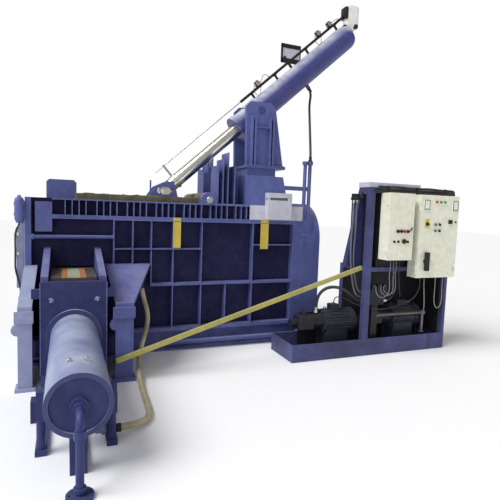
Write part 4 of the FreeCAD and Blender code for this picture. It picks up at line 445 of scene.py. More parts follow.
brass = coated(
    "brass", (0.62, 0.44, 0.16), (0.16, 0.11, 0.05), (0.30, 0.27, 0.20), (0.80, 0.66, 0.32),
    0.4, 0.2, 0.5, rough=(0.25, 0.5), metal=1.0, bump=0.08, edge_size=0.002,
)
yellow = coated(
    "plate_yellow", (0.62, 0.47, 0.07), (0.22, 0.17, 0.05), (0.50, 0.46, 0.30), (0.40, 0.38, 0.34),
    0.35, 0.3, 0.5, rough=(0.35, 0.6), bump=0.1, edge_size=0.003,
)
orange = coated(
    "scraper_orange", (0.52, 0.16, 0.035), (0.10, 0.05, 0.03), (0.42, 0.32, 0.22), (0.60, 0.36, 0.20),
    0.45, 0.3, 0.6, rough=(0.45, 0.75), bump=0.3,
)
sage = coated(
    "scraper_sage", (0.36, 0.40, 0.27), (0.12, 0.13, 0.09), (0.46, 0.46, 0.38), (0.50, 0.52, 0.44),
    0.5, 0.35, 0.6, rough=(0.45, 0.75), bump=0.3,
)
print(len(bpy.data.materials), "materials")

# %% [markdown]
# ## Hoses and their rubber
# The ram's oil hose is wrapped in a woven cream sleeve; the lid's hose is plain black rubber.
# Their weave follows the tube, so it reads the tube's own UV map: U runs round, V runs along.

# %% Hose materials
def hose_material(title, colour, dark, rings, rough, weave=0.5):
    """Rubber or woven sleeve with fine turns across the tube."""
    material, tree, shader = new_material(title)
    scale = tree.nodes.new("ShaderNodeMapping")
    scale.inputs["Scale"].default_value = rings
    tree.links.new(tree.nodes.new("ShaderNodeUVMap").outputs["UV"], scale.inputs["Vector"])
    threads = tree.nodes.new("ShaderNodeTexWave")
    threads.wave_type = "BANDS"
    threads.bands_direction = "DIAGONAL"
    threads.inputs["Scale"].default_value = 1.0
    threads.inputs["Distortion"].default_value = 0.8
    tree.links.new(scale.outputs[0], threads.inputs["Vector"])
    soil = window(tree, noise(tree, 7.0, 5.0, 0.6), 0.4, 0.75)
    body = blend_colours(tree, threads.outputs["Fac"], tuple(channel * 0.82 for channel in colour), colour)
    tree.links.new(blend_colours(tree, soil, body, dark), shader.inputs["Base Color"])
    dull_by(tree, shader, soil, rough)
    emboss(tree, shader, threads.outputs["Fac"], weave, WEAVE_RELIEF)
    return material


sleeve = hose_material("hose_sleeve", (0.66, 0.58, 0.38), (0.34, 0.29, 0.17), (8, 160, 1), (0.75, 0.9))
rubber = hose_material(
    "hose_rubber", (0.020, 0.020, 0.022), (0.05, 0.05, 0.05),
    (4, 200, 1), (0.45, 0.7), 0.3,
)
grey_cable = hose_material("cable_grey", (0.24, 0.23, 0.24), (0.12, 0.11, 0.12), (4, 90, 1), (0.5, 0.7), 0.15)
pale_cable = hose_material("cable_pale", (0.36, 0.34, 0.30), (0.30, 0.28, 0.24), (4, 60, 1), (0.5, 0.7), 0.1)
silver_hose = hose_material(
    "hose_silver", (0.17, 0.175, 0.21), (0.12, 0.12, 0.13),
    (6, 220, 1), (0.35, 0.6), 0.5,
)
print("hose materials ready")

# %% [markdown]
# ** Slots.** Each new piece is given its finish here as its one material.

# %% [markdown]
# ** The hose lines.** A hose is one smooth curve led by a short list of points: straight out of
# each fitting, then along the floor or down under its own weight. A NURBS spline of order 3 keeps
# every bend round. The lid's hose joins two bodies and is put on neither. Its points and those of
# the coil cables further down come from a search for wide bends.

# %% A hose from its points
# The bevel resolution of a tube, and the steps from one point to the next.
CABLE_DETAIL, HOSE_DETAIL = (2, 8), (4, 12)


def tube_and_path(name, points, radius, detail):
    """A round tube as a mesh along the smooth line that the points lead, and that line's own points."""
    bpy.ops.object.select_all(action="DESELECT")
    line = bpy.data.curves.new(name, "CURVE")
    line.dimensions = "3D"
    line.bevel_resolution, line.resolution_u = detail
    line.use_fill_caps = True
    spline = line.splines.new("NURBS")
    spline.points.add(len(points) - 1)
    for spot, point in zip(spline.points, points):
        spot.co = (*point, 1)
    spline.order_u = 3
    spline.use_endpoint_u = True
    carrier = bpy.data.objects.new(f"{name}_line", line)
    bpy.context.scene.collection.objects.link(carrier)
    path = [tuple(spot.co) for spot in bpy.data.meshes.new_from_object(carrier).vertices]
    line.bevel_depth = radius
    tube = bpy.data.objects.new(name, bpy.data.meshes.new_from_object(carrier))
    bpy.data.objects.remove(carrier)
    bpy.context.scene.collection.objects.link(tube)
    return tube, path


def path_length(path):
    return sum((Vector(second) - Vector(first)).length for first, second in zip(path, path[1:]))


def coat(piece, material):
    """Gives a piece its one finish and the slot that goes with it."""
    piece.data.materials.clear()
    piece.data.materials.append(material)


def cable(name, points, radius, material, body="press", stiffness="medium", replaced=None):
    """A free hose or cable between two fittings, with its real length; a stiff one is drawn finer."""
    tube, path = tube_and_path(name, points, radius, HOSE_DETAIL if stiffness == "stiff" else CABLE_DETAIL)
    if body:
        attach(tube, body)
    if replaced:
        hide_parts(replaced)
    coat(tube, material)
    print(f"{name}: {path_length(path):.2f} m")
    return tube


print("hose helpers ready")

# %% The two oil hoses
RAM_HOSE_RADIUS, LID_HOSE_RADIUS = 0.024, 0.015
RAM_HOSE_LINE = [
    (-0.430, -0.650, 0.865), (-0.430, -0.650, 0.755), (-0.405, -0.658, 0.640), (-0.372, -0.680, 0.525),
    (-0.371, -0.722, 0.415), (-0.408, -0.785, 0.315), (-0.455, -0.880, 0.225), (-0.497, -1.005, 0.148),
    (-0.522, -1.155, 0.088), (-0.538, -1.325, 0.048), (-0.547, -1.510, 0.030), (-0.552, -1.700, 0.0275),
    (-0.556, -1.880, 0.027), (-0.566, -2.042, 0.028), (-0.614, -2.144, 0.039), (-0.695, -2.221, 0.055),
    (-0.799, -2.262, 0.068), (-0.905, -2.262, 0.068),
]
cable("ram_hose_sleeve", RAM_HOSE_LINE, RAM_HOSE_RADIUS, sleeve, "press", "stiff", "ram_hose")
LID_HOSE_LINE = [
    (1.784, 0, 3.2141), (1.8263, 0, 3.1672), (1.8108, -0.002, 3.032), (1.782, -0.050, 2.954),
    (1.755, -0.114, 2.842), (1.728, -0.178, 2.729), (1.7005, -0.2425, 2.616), (1.6735, -0.307, 2.504),
    (1.646, -0.371, 2.391), (1.6253, -0.420, 2.302), (1.6253, -0.420, 2.215),
]
lid_hose = cable(
    "lid_hose_rubber", LID_HOSE_LINE, LID_HOSE_RADIUS, rubber, None, "stiff", "lid_hose"
)
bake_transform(lid_hose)

# %% [markdown]
# ## Coats for the solids
# Every solid gets its finish by assigning a material to its own slots; nothing is moved.

# %% Coat the solids
COATS = (
    (blue, """floor_frame front_stiffeners rear_stiffeners chamber_covers rear_crosshead
        ram_trough right_leg gate_frame hinge_brackets pedestal_base
        trunnion_pedestal standpipes tie_pipe main_cylinder_barrel
        gate_cylinder lid_clevis"""),
    (shaded_navy, "side_cylinder_cap mounting_plate supply_pipe cylinder_stand"),
    (lilac, "left_leg left_end_wall"),
    (lid_barrel_dust_and_top_light, "lid_cylinder_barrel"),
    (unit_blue, "unit_frame"),
    (painted_shade_blue, "front_wall rear_wall"),
    (light_blue, "side_cylinder_barrel"),
    (worn_steel, "chamber_floor side_ram_head main_ram_head gate_leaf"),
    (lid_crust, "lid"),
    (rod_chrome, "lid_rod main_ram_rod side_ram_rod"),
    (machined, "hinge_shaft indicator_rod"),
    (oily_shaded_steel, "hydraulic_pumps valve_block oil_tank"),
    (motor_paint, "pump_motors"),
    (cream, "panel_cabinets start_panel_door main_panel_door"),
    (pale, "terminal_box unit_cover"),
    (olive, "cable_duct"),
    (black_gloss, """start_button reverse_button jog_button stop_button isolator_handle
        lid_down_button ram_back_button"""),
    (red_gloss, "halt_button"),
    (green_gloss, "lid_up_button ram_out_button"),
)
coated_nodes = set()
for material, names in COATS:
    for name in names.split():
        solid = nodes[name]
        if not solid.data.materials:
            solid.data.materials.append(material)
        for index in range(len(solid.data.materials)):
            solid.data.materials[index] = material
        coated_nodes.add(name)
print("solids with a finish:", len(coated_nodes), "without:", sorted(set(nodes) - coated_nodes))

# %% [markdown]
# ## Modelling by hand
# The small parts are modelled as in the viewport: add a primitive at its size, select faces by
# where they are, inset, extrude or bisect them, and round the edges with a Bevel modifier that
# is applied. These helpers only save typing; each one is a step that a hand would make.

# %% Select, settle and round
# A face looks along an axis when its normal goes at least this far that way.
SQUARE_ON = 0.9


def clear():
    """Leaves edit mode with nothing selected."""
    if bpy.context.object and bpy.context.object.mode != "OBJECT":
        bpy.ops.object.mode_set(mode="OBJECT")
    bpy.ops.object.select_all(action="DESELECT")


def pick(piece):
    """Makes one piece the only selected and active one."""
    clear()
    piece.select_set(True)
    bpy.context.view_layer.objects.active = piece
    return piece


def settle(piece):
    """Puts a piece's place, turn and size into its mesh."""
    pick(piece)
    bpy.ops.object.transform_apply(location=True, rotation=True, scale=True)
    return piece


def choose_faces(piece, test):
    """Enters edit mode with the faces selected whose centre and normal pass the test."""
    pick(piece)
    bpy.ops.object.mode_set(mode="EDIT")
    bpy.ops.mesh.select_mode(type="FACE")
    bpy.ops.mesh.select_all(action="DESELECT")
    bpy.ops.object.mode_set(mode="OBJECT")
    for face in piece.data.polygons:
        face.select = bool(test(face.center, face.normal))
    bpy.ops.object.mode_set(mode="EDIT")


def inset_faces(piece, test, *steps, individual=False):
    """Insets the faces that pass the test by each (thickness, depth) in turn."""
    choose_faces(piece, test)
    for thickness, depth in steps:
        bpy.ops.mesh.inset(thickness=thickness, depth=depth, use_individual=individual)
    bpy.ops.object.mode_set(mode="OBJECT")
    return piece


def cut_off(piece, spot, direction):
    """Takes off what lies past a plane, looking along a direction, and closes the cut."""
    pick(piece)
    bpy.ops.object.mode_set(mode="EDIT")
    bpy.ops.mesh.select_all(action="SELECT")
    bpy.ops.mesh.bisect(plane_co=spot, plane_no=direction, clear_outer=True, use_fill=True)
    bpy.ops.object.mode_set(mode="OBJECT")
    return piece


def apply_modifier(piece, kind, **values):
    """Adds a modifier, sets its values and applies it."""
    pick(piece)
    bpy.ops.object.modifier_add(type=kind)
    made = piece.modifiers[-1]
    for name, value in values.items():
        setattr(made, name, value)
    bpy.ops.object.modifier_apply(modifier=made.name)
    return piece


def round_edges(piece, width, segments, angle=35):
    return apply_modifier(
        piece, "BEVEL", width=width, segments=segments, limit_method="ANGLE", angle_limit=math.radians(angle)
    )


print("hand tools ready")

# %% [markdown]
# **Two starting shapes.** Most fittings are either a block with rounded edges or a turned form:
# a disc whose top face is extruded and scaled again and again, as a lathe would cut its steps.

# %% Blocks and turned forms
def rounded_block(low, high, edge, segments=2):
    """A block between two corners with rounded edges, or sharp ones where the edge is 0."""
    low, high = Vector(low), Vector(high)
    clear()
    bpy.ops.mesh.primitive_cube_add(size=1, location=(low + high) / 2)
    piece = bpy.context.object
    piece.scale = high - low
    settle(piece)
    return round_edges(piece, edge, segments) if edge else piece


def turned(profile, corners=16):
    """A turned form standing on Z = 0; profile lists (radius, height) from the foot up."""
    (radius, height), *steps = profile
    clear()
    bpy.ops.mesh.primitive_cylinder_add(
        vertices=corners, radius=radius, depth=height, location=(0, 0, height / 2)
    )
    piece = settle(bpy.context.object)
    choose_faces(piece, lambda centre, normal: normal.z > SQUARE_ON)
    for wide, top in steps:
        bpy.ops.mesh.extrude_region_move(TRANSFORM_OT_translate={"value": (0, 0, top - height)})
        share = wide / radius
        bpy.ops.transform.resize(value=(share, share, 1), center_override=(0, 0, top))
        radius, height = wide, top
    bpy.ops.object.mode_set(mode="OBJECT")
    return piece


def ring(inner, outer, height, corners=28):
    """A ring: a circle extruded outwards, made solid and rounded."""
    clear()
    bpy.ops.mesh.primitive_circle_add(vertices=corners, radius=inner, fill_type="NOTHING")
    piece = bpy.context.object
    bpy.ops.object.mode_set(mode="EDIT")
    bpy.ops.mesh.select_mode(type="VERT")
    bpy.ops.mesh.select_all(action="SELECT")
    bpy.ops.mesh.extrude_region_move()
    bpy.ops.transform.resize(value=(outer / inner, outer / inner, 1), center_override=(0, 0, 0))
    bpy.ops.mesh.select_all(action="SELECT")
    bpy.ops.mesh.normals_make_consistent(inside=False)
    bpy.ops.object.mode_set(mode="OBJECT")
    up = sum(face.normal.z for face in piece.data.polygons) > 0
    apply_modifier(piece, "SOLIDIFY", thickness=height, offset=1 if up else -1)
    return round_edges(piece, min(height, outer - inner) * 0.18, 1, 50)


def facing(point, direction, spin=0.0):
    """A place whose own Z looks along a direction."""
    turn = Vector(direction).to_track_quat("Z", "Y").to_matrix().to_4x4()
    return Matrix.Translation(point) @ turn @ Matrix.Rotation(spin, 4, "Z")


NEAR, UP, DOWN, RIGHT = (0, -1, 0), (0, 0, 1), (0, 0, -1), (1, 0, 0)


def joined(pieces):
    """One piece from several, placed in its own mesh."""
    clear()
    for piece in pieces:
        piece.select_set(True)
    bpy.context.view_layer.objects.active = pieces[0]
    if len(pieces) > 1:
        bpy.ops.object.join()
    return settle(bpy.context.object)


def copies(model, places):
    """Copies of a model, each with its own mesh, at their places; the model goes."""
    made = []
    for place in places:
        twin = model.copy()
        twin.data = model.data.copy()
        bpy.context.scene.collection.objects.link(twin)
        twin.matrix_world = place
        made.append(twin)
    bpy.data.objects.remove(model)
    return joined(made)


def finish_piece(piece, name, material, body="press", smooth=35):
    """Names a piece, coats it and puts it on its body."""
    settle(piece)
    piece.name = piece.data.name = name
    coat(piece, material)
    if smooth:
        bpy.ops.object.shade_smooth_by_angle(angle=math.radians(smooth))
    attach(piece, body)
    print(f"{name}: {len(piece.data.polygons)} faces on {body}")
    return piece


def bolt(radius):
    """A hexagon bolt head with a chamfer, on a washer."""
    head = turned([(radius, radius * 0.75), (radius * 0.82, radius * 0.95)], corners=6)
    washer = turned([(radius * 1.25, radius * 0.16), (radius * 1.15, radius * 0.24)])
    head.location.z = radius * 0.2
    return joined([washer, head])


print("starting shapes ready")

# %% [markdown]
# ## Hose fittings
# Both hoses end in a steel ferrule, pressed on in rings, behind a hexagon nut.

# %% Ferrules and nuts
def hose_end(radius, length):
    """A ferrule with four pressed rings over the hose, and a nut at its foot."""
    nut_top, sleeve_radius, neck = radius * 1.3, radius * 1.3, radius * 1.18
    nut = turned([(radius * 1.75, radius * 1.1), (radius * 1.55, nut_top)], corners=6)
    profile = [(sleeve_radius, radius * 1.1)]
    for step in range(4):
        at = nut_top + (length - nut_top) * (step + 1) / 4
        profile += [(sleeve_radius, at - length * 0.05), (neck, at - length * 0.03), (neck, at)]
    return joined([nut, turned(profile, corners=20)])


def end_of(line):
    """The place where a line starts, looking along it; a line read backwards gives its other end."""
    return facing(line[0], Vector(line[1]) - Vector(line[0]))


finish_piece(
    joined([
        copies(hose_end(RAM_HOSE_RADIUS, 0.11), [end_of(RAM_HOSE_LINE)]),
        copies(hose_end(RAM_HOSE_RADIUS, 0.10), [end_of(RAM_HOSE_LINE[::-1])]),
        copies(hose_end(LID_HOSE_RADIUS, 0.06), [end_of(LID_HOSE_LINE[::-1])]),
    ]),
    "hose_ferrules", oily_shaded_steel,
)
finish_piece(
    copies(hose_end(LID_HOSE_RADIUS, 0.06), [end_of(LID_HOSE_LINE)]),
    "lid_hose_ferrule", oily_shaded_steel, "lid_cylinder",
)

# %% [markdown]
# ## The position indicator
# A rod beside the lid cylinder trips three switches, whose cables run in the thick black tube to
# a pale box at its top end. The cylinder is tilted 42 degrees, so these pieces are placed by how
# far they are along its axis, across it and above it.

# %% Places on the tilted cylinder
TILT = math.radians(42)
TRUNNION = Vector((1.040, 0, 2.800))
ALONG = Vector((math.cos(TILT), 0, math.sin(TILT)))
ABOVE = Vector((-math.sin(TILT), 0, math.cos(TILT)))
ACROSS = Vector((0, 1, 0))


def on_cylinder(along_axis, across, above):
    return TRUNNION + ALONG * along_axis + ACROSS * across + ABOVE * above


def tilted_block(low, high, edge):
    """A rounded block in the cylinder's own directions."""
    piece = rounded_block(low, high, edge)
    piece.matrix_world = Matrix.Translation(TRUNNION) @ Matrix.Rotation(-TILT, 4, "Y")
    return settle(piece)


print("the cylinder's top end", [round(value, 3) for value in on_cylinder(1.75, 0, 0)])

# %% The tube and its stalks
TUBE_BORE, TUBE_RADIUS, TUBE_LENGTH = 0.0132, 0.017, 1.920
TUBE_START, TUBE_UP = -0.060, 0.225
STALK_SPOTS = (0.112, 0.520, 1.090, 1.640)
tube = copies(
    ring(TUBE_BORE, TUBE_RADIUS, TUBE_LENGTH, 24), [facing(on_cylinder(TUBE_START, 0, TUBE_UP), ALONG)]
)
stalks = [
    tilted_block((spot, -0.012, 0.147), (spot + 0.024, 0.012, TUBE_UP - 0.0145), 0.003)
    for spot in STALK_SPOTS
]
saddles = [
    tilted_block((spot - 0.012, -0.0235, 0.206), (spot + 0.036, 0.0235, 0.2115), 0.002)
    for spot in STALK_SPOTS
]
indicator_tube = finish_piece(
    joined([tube, *stalks, *saddles]), "indicator_tube", black_gloss, "lid_cylinder"
)
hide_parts("position_indicator")

# %% The end box
END_LOW, END_HIGH = (2.2756, -0.055, 4.0580), (2.4856, 0.055, 4.3660)
cover = inset_faces(
    rounded_block(END_LOW, END_HIGH, 0.050, 6), lambda centre, normal: abs(normal.y) > SQUARE_ON,
    (0.006, 0), (0.002, -0.002), (0.002, 0.003),
)
finish_piece(cover, "end_box_cover", white_plastic, "lid_cylinder")
strap = rounded_block((2.256, -0.060, 4.166), (2.302, 0.060, 4.318), 0.010, 3)
foot = rounded_block((2.400, -0.060, 4.062), (2.462, 0.060, 4.118), 0.012, 3)
bracket = tilted_block((1.748, -0.030, 0.078), (1.800, 0.030, 0.138), 0.004)
SCREW_SPOTS = ((2.279, 4.190), (2.279, 4.294), (2.420, 4.090), (2.442, 4.090))
screws = copies(
    turned([(0.007, 0.003), (0.005, 0.005)], 12), [facing((x, -0.0598, z), NEAR) for x, z in SCREW_SPOTS]
)
finish_piece(joined([strap, foot, bracket, screws]), "end_box_straps", black_gloss, "lid_cylinder")

# %% The board: a black frame round a pale panel
BARREL_TOP = 0.151
BOARD_LEFT, BOARD_RIGHT, BOARD_LOW, BOARD_HIGH = 1.370, 1.645, 3.484, 3.719


def cut_to_barrel(piece):
    """Takes off what would lie in the barrel, with a plane along its top."""
    return cut_off(piece, on_cylinder(0.8, 0, BARREL_TOP), -ABOVE)


def frame_bar(left, right, low, high, edge=0.004):
    return rounded_block((left, -0.012, low), (right, 0.012, high), edge)


finish_piece(
    joined([
        frame_bar(BOARD_LEFT, BOARD_RIGHT, BOARD_HIGH - 0.052, BOARD_HIGH),
        frame_bar(BOARD_LEFT, BOARD_LEFT + 0.022, BOARD_LOW, BOARD_HIGH),
        cut_to_barrel(frame_bar(BOARD_LEFT, BOARD_RIGHT, BOARD_LOW, BOARD_LOW + 0.058)),
        cut_to_barrel(frame_bar(BOARD_RIGHT - 0.012, BOARD_RIGHT, BOARD_LOW, BOARD_HIGH, 0.003)),
    ]),
    "board_frame", black_gloss, "lid_cylinder",
)
panel = cut_to_barrel(rounded_block((1.388, -0.005, 3.530), (1.637, 0.005, 3.675), 0.001, 1))
louvres = [
    rounded_block((left, -0.009, 3.560), (left + 0.010, -0.004, 3.650), 0.002, 1)
    for left in (1.405 + 0.032 * step for step in range(7))
]
finish_piece(joined([panel, *louvres]), "board_panel", pale, "lid_cylinder")
arm = tilted_block((0.770, -0.010, 0.147), (0.800, 0.010, 0.320), 0.003)
finish_piece(arm, "board_arm", black_gloss, "lid_cylinder")

# %% [markdown]
# **The switches** are cast boxes with a lid held by two screws and a brass gland where the cable
# comes in. The cable to the next switch hangs in a small loop.

# %% Switch lids and glands
SWITCH_SPOTS = (0.263, 1.373, 1.588)
lids, glands, cases = [], [], []
for spot in SWITCH_SPOTS:
    cases.append(tilted_block((spot - 0.028, -0.028, 0.2395), (spot + 0.028, 0.028, 0.296), 0.005))
    lids.append(tilted_block((spot - 0.024, -0.036, 0.243), (spot + 0.024, -0.026, 0.293), 0.003))
    lids.append(tilted_block((spot - 0.020, -0.020, 0.294), (spot + 0.020, 0.020, 0.306), 0.003))
    for side in (1, -1):
        glands.append(facing(on_cylinder(spot + side * 0.028, -0.006, 0.262), side * ALONG))
finish_piece(joined(cases), "switch_cases", oily_shaded_steel, "lid_cylinder")
finish_piece(joined(lids), "switch_lids", machined, "lid_cylinder")
finish_piece(
    copies(turned([(0.0115, 0.010), (0.009, 0.012), (0.009, 0.022), (0.006, 0.026)], 10), glands),
    "switch_glands", brass, "lid_cylinder",
)


def cylinder_line(*places):
    return [tuple(on_cylinder(*place)) for place in places]


SWITCH_CABLE = 0.0035
SWITCH_LOOP = [
    (-0.054, -0.006, 0.262), (-0.088, -0.018, 0.250), (-0.112, -0.038, 0.212), (-0.116, -0.052, 0.170),
    (-0.098, -0.058, 0.150), (-0.066, -0.056, 0.152), (-0.036, -0.046, 0.176), (-0.010, -0.032, 0.200),
    (0.014, -0.020, 0.214),
]
for name, spot in zip(("low", "mid"), SWITCH_SPOTS):
    loop = cylinder_line(*[(spot + along_axis, across, above) for along_axis, across, above in SWITCH_LOOP])
    cable(f"switch_cable_{name}", loop, SWITCH_CABLE, rubber, "lid_cylinder")
cable(
    "switch_cable_top",
    cylinder_line(
        (1.642, -0.006, 0.262), (1.672, -0.012, 0.266), (1.700, -0.030, 0.262), (1.722, -0.050, 0.246),
        (1.744, -0.052, 0.230), (1.770, -0.036, 0.222), (1.792, -0.018, 0.222),
    ),
    SWITCH_CABLE, rubber, "lid_cylinder",
)
cable(
    "low_switch_arch",
    cylinder_line(
        (0.317, -0.006, 0.262), (0.345, -0.010, 0.268), (0.366, -0.014, 0.290), (0.392, -0.016, 0.305),
        (0.420, -0.016, 0.292), (0.436, -0.014, 0.262), (0.446, -0.010, 0.240),
    ),
    SWITCH_CABLE, rubber, "lid_cylinder",
)

# %% [markdown]
# ## Bolts, pins and gauges of the press
# Flanges and feet are held by bolts, so one bolt is modelled and copied to its places.

# %% Bolts and nuts
BARREL_X, BARREL_Z, PLATE_FRONT = -1.091, 0.460, -1.230
mounting_spots = [
    facing((BARREL_X + across, PLATE_FRONT, BARREL_Z + up), NEAR)
    for across in (-0.187, 0.191) for up in (-0.300, 0.311)
]
mounting_nut = joined([bolt(0.020), turned([(0.011, 0.034), (0.009, 0.037)], 12)])
finish_piece(copies(mounting_nut, mounting_spots), "mounting_nuts", lilac)
pedestal_spots = [
    facing((x, side * 0.265, 2.140), UP, 0.4 * x)
    for x in (0.875, 1.000, 1.125, 1.250, 1.325) for side in (-1, 1)
]
finish_piece(copies(bolt(0.014), pedestal_spots), "pedestal_bolts", oily_shaded_steel)

# %% [markdown]
# **Pins.** The hinge shaft is kept in by a disc with a bolt through it at each end.

# %% Keeper discs on the hinge shaft
finish_piece(
    copies(
        joined([turned([(0.034, 0.007), (0.031, 0.010)], 24), bolt(0.012)]),
        [facing((0.340, side * 0.470, 1.700), (0, side, 0)) for side in (-1, 1)],
    ),
    "hinge_keepers", machined,
)

# %% [markdown]
# ## Scraper pads on the side ram
# Flat strips on the side ram's top wipe it clean as it slides under the tunnel. They are a few
# millimetres thick, two orange ones beside a pale green one.

# %% The wear pads
RAM_TOP, PAD_SINK = 0.945, 0.001


def wear_pad(left, right, proud):
    return rounded_block(
        (left, -1.090, RAM_TOP - PAD_SINK), (right, -0.480, RAM_TOP + proud), 0.0012, 1
    )


orange_pads = [wear_pad(left, right, 0.0035) for left, right in ((-1.2460, -1.1490), (-1.0330, -0.9360))]
finish_piece(joined(orange_pads), "orange_pads", orange, "side_ram")
finish_piece(wear_pad(-1.147, -1.035, 0.003), "sage_pad", sage, "side_ram")

# %% [markdown]
# ## Bare plates
# Two small yellow plates hang under the rail. Each has a shallow border, made by an inset, and a
# rivet in each corner.

# %% The plates on the wall
plates, rivets = [], []
for left, right, low, high in ((-0.064, 0.022, 1.155, 1.488), (0.981, 1.085, 1.144, 1.503)):
    plates.append(inset_faces(
        rounded_block((left, -0.4535, low), (right, -0.4505, high), 0.0012, 1),
        lambda centre, normal: normal.y < -SQUARE_ON, (0.007, 0), (0.002, -0.0008),
    ))
    for x in (left + 0.014, right - 0.014):
        for z in (low + 0.014, high - 0.014):
            rivets.append(facing((x, -0.4530, z), NEAR))
finish_piece(joined(plates), "bare_plates", yellow)
finish_piece(copies(turned([(0.0045, 0.0015), (0.0025, 0.0028)], 10), rivets), "plate_rivets", machined)

# %% [markdown]
# ## The operating panels
# Each button sits in a ring, meters have a white dial behind a frame, and three lamps show which
# motor runs. A dial gets nine ticks and a needle.

# %% Rings, selectors and the lever
START_FRONT, MAIN_FRONT, SEAT_GAP = -1.3990, -1.3840, 0.0002


def on_panel(x, z, front, turn=0.0):
    """A place on a panel's front, looking out at the near side."""
    return facing((x, front, z), NEAR, turn)


RINGS = {
    "start_button_rings": (
        (0.0185, 0.0220, 0.0045), machined, "start_door", START_FRONT,
        [(x, 1.426) for x in (2.202, 2.247, 2.292, 2.337)],
    ),
    "stop_ring": ((0.0262, 0.0325, 0.0040), yellow, "start_door", START_FRONT, [(2.292, 1.316)]),
    "main_button_rings": (
        (0.0150, 0.0190, 0.0040), machined, "main_door", MAIN_FRONT,
        [(x, z) for x in (2.740, 2.800) for z in (1.510, 1.440)],
    ),
}
for name, (size, finish, door, front, spots) in RINGS.items():
    rings = copies(ring(*size), [on_panel(x, z, front + SEAT_GAP) for x, z in spots])
    finish_piece(rings, name, finish, door)
selector = joined([
    turned([(0.014, 0.004), (0.0125, 0.010), (0.0115, 0.012)], 20),
    rounded_block((-0.004, -0.013, 0.010), (0.004, 0.013, 0.022), 0.0015),
])
SELECTORS = ((2.162, 1.312, 0.5), (2.216, 1.312, -0.4), (2.345, 1.312, 0.2))
finish_piece(
    copies(selector, [on_panel(x, z, START_FRONT + SEAT_GAP, turn) for x, z, turn in SELECTORS]),
    "start_selectors", black_gloss, "start_door",
)
lever = rounded_block((-0.0050, -0.024, 0.001), (0.0050, 0.024, 0.012), 0.002)
finish_piece(
    copies(lever, [on_panel(2.385, 1.450, START_FRONT + 0.0005, -0.6)]),
    "start_lever", black_gloss, "start_door",
)

# %% Meters with dials and needles
METER_FRONT, METER_MIDDLE, TICKS_FROM, TICKS_RADIUS = -1.398, 1.730, 1.728, 0.026


def dial_bar(spot, angle, half, low, high):
    """A thin bar on a dial, turned about the dial's own axis."""
    bar = rounded_block((-half, -half, low), (half, half, high), 0)
    bar.matrix_world = Matrix.Translation(spot) @ Matrix.Rotation(angle, 4, "Y")
    return settle(bar)


bezels, dials, marks = [], [], []
for x in (2.593, 3.013):
    bezel = rounded_block(
        (x - 0.0385, METER_FRONT - 0.004, METER_MIDDLE - 0.053),
        (x + 0.0385, METER_FRONT + 0.001, METER_MIDDLE + 0.053), 0.003,
    )
    bezels.append(inset_faces(bezel, lambda centre, normal: normal.y < -SQUARE_ON, (0.006, -0.0025)))
    dials.append(rounded_block(
        (x - 0.0315, METER_FRONT - 0.0032, 1.684), (x + 0.0315, METER_FRONT - 0.001, 1.776), 0.001, 1
    ))
    for step in range(9):
        angle = math.radians(-48 + 12 * step)
        across, up = TICKS_RADIUS * math.sin(angle), TICKS_RADIUS * math.cos(angle)
        spot = (x + across, METER_FRONT - 0.0034, TICKS_FROM + up)
        marks.append(dial_bar(spot, angle, 0.0004, -0.0025, 0.0025))
    marks.append(dial_bar((x, METER_FRONT - 0.0038, 1.720), -0.6, 0.0005, 0, 0.027))
for name, pieces, finish, smooth in (
    ("meter_bezels", bezels, black_gloss, 35), ("meter_dials", dials, white_plastic, 35),
    ("meter_marks", marks, black_gloss, 0),
):
    finish_piece(joined(pieces), name, finish, "main_door", smooth)

# %% Lamps, selectors and lock
LAMP_HEIGHT, LAMP_PROFILE = 1.766, [
    (0.0150, 0.003), (0.0125, 0.004), (0.0125, 0.014), (0.0110, 0.018), (0.0070, 0.021), (0.0030, 0.022),
]
for name, finish, spots in (("lamp_red", red_gloss, (2.740,)), ("lamps_green", green_gloss, (2.800, 2.860))):
    lamps = copies(turned(LAMP_PROFILE, 20), [on_panel(x, LAMP_HEIGHT, MAIN_FRONT) for x in spots])
    finish_piece(lamps, name, finish, "main_door")
finish_piece(
    rounded_block((2.588, MAIN_FRONT - 0.003, 1.468), (2.648, MAIN_FRONT + 0.001, 1.572), 0.0015),
    "selector_plate", yellow, "main_door",
)
knob = joined([
    turned([(0.021, 0.004), (0.018, 0.006), (0.017, 0.018), (0.015, 0.020)], 24),
    rounded_block((-0.005, -0.020, 0.018), (0.005, 0.020, 0.030), 0.002),
])
key_block = rounded_block((2.932, MAIN_FRONT - 0.016, 1.522), (2.984, MAIN_FRONT + 0.001, 1.566), 0.003)
small_knob = turned([(0.011, 0.004), (0.0085, 0.012), (0.0075, 0.014)])
small_knob = copies(small_knob, [on_panel(3.040, 1.544, MAIN_FRONT)])
finish_piece(
    joined([copies(knob, [on_panel(2.620, 1.514, MAIN_FRONT - 0.003, 0.7)]), key_block, small_knob]),
    "main_selectors", black_gloss, "main_door",
)
lock_face = joined([ring(0.0125, 0.0165, 0.003), turned([(0.0120, 0.0025)], 20)])
finish_piece(copies(lock_face, [on_panel(3.040, 1.000, -1.398)]), "door_lock_face", machined, "main_door")

# %% [markdown]
# ## Cables of the power unit
# Control cables leave the panels through glands underneath, hang in front of the deck and go to
# the plugs on the valve coils and to the motors' terminal boxes. Two pale leads hang in spare
# loops under the main panel, so that its door can open.

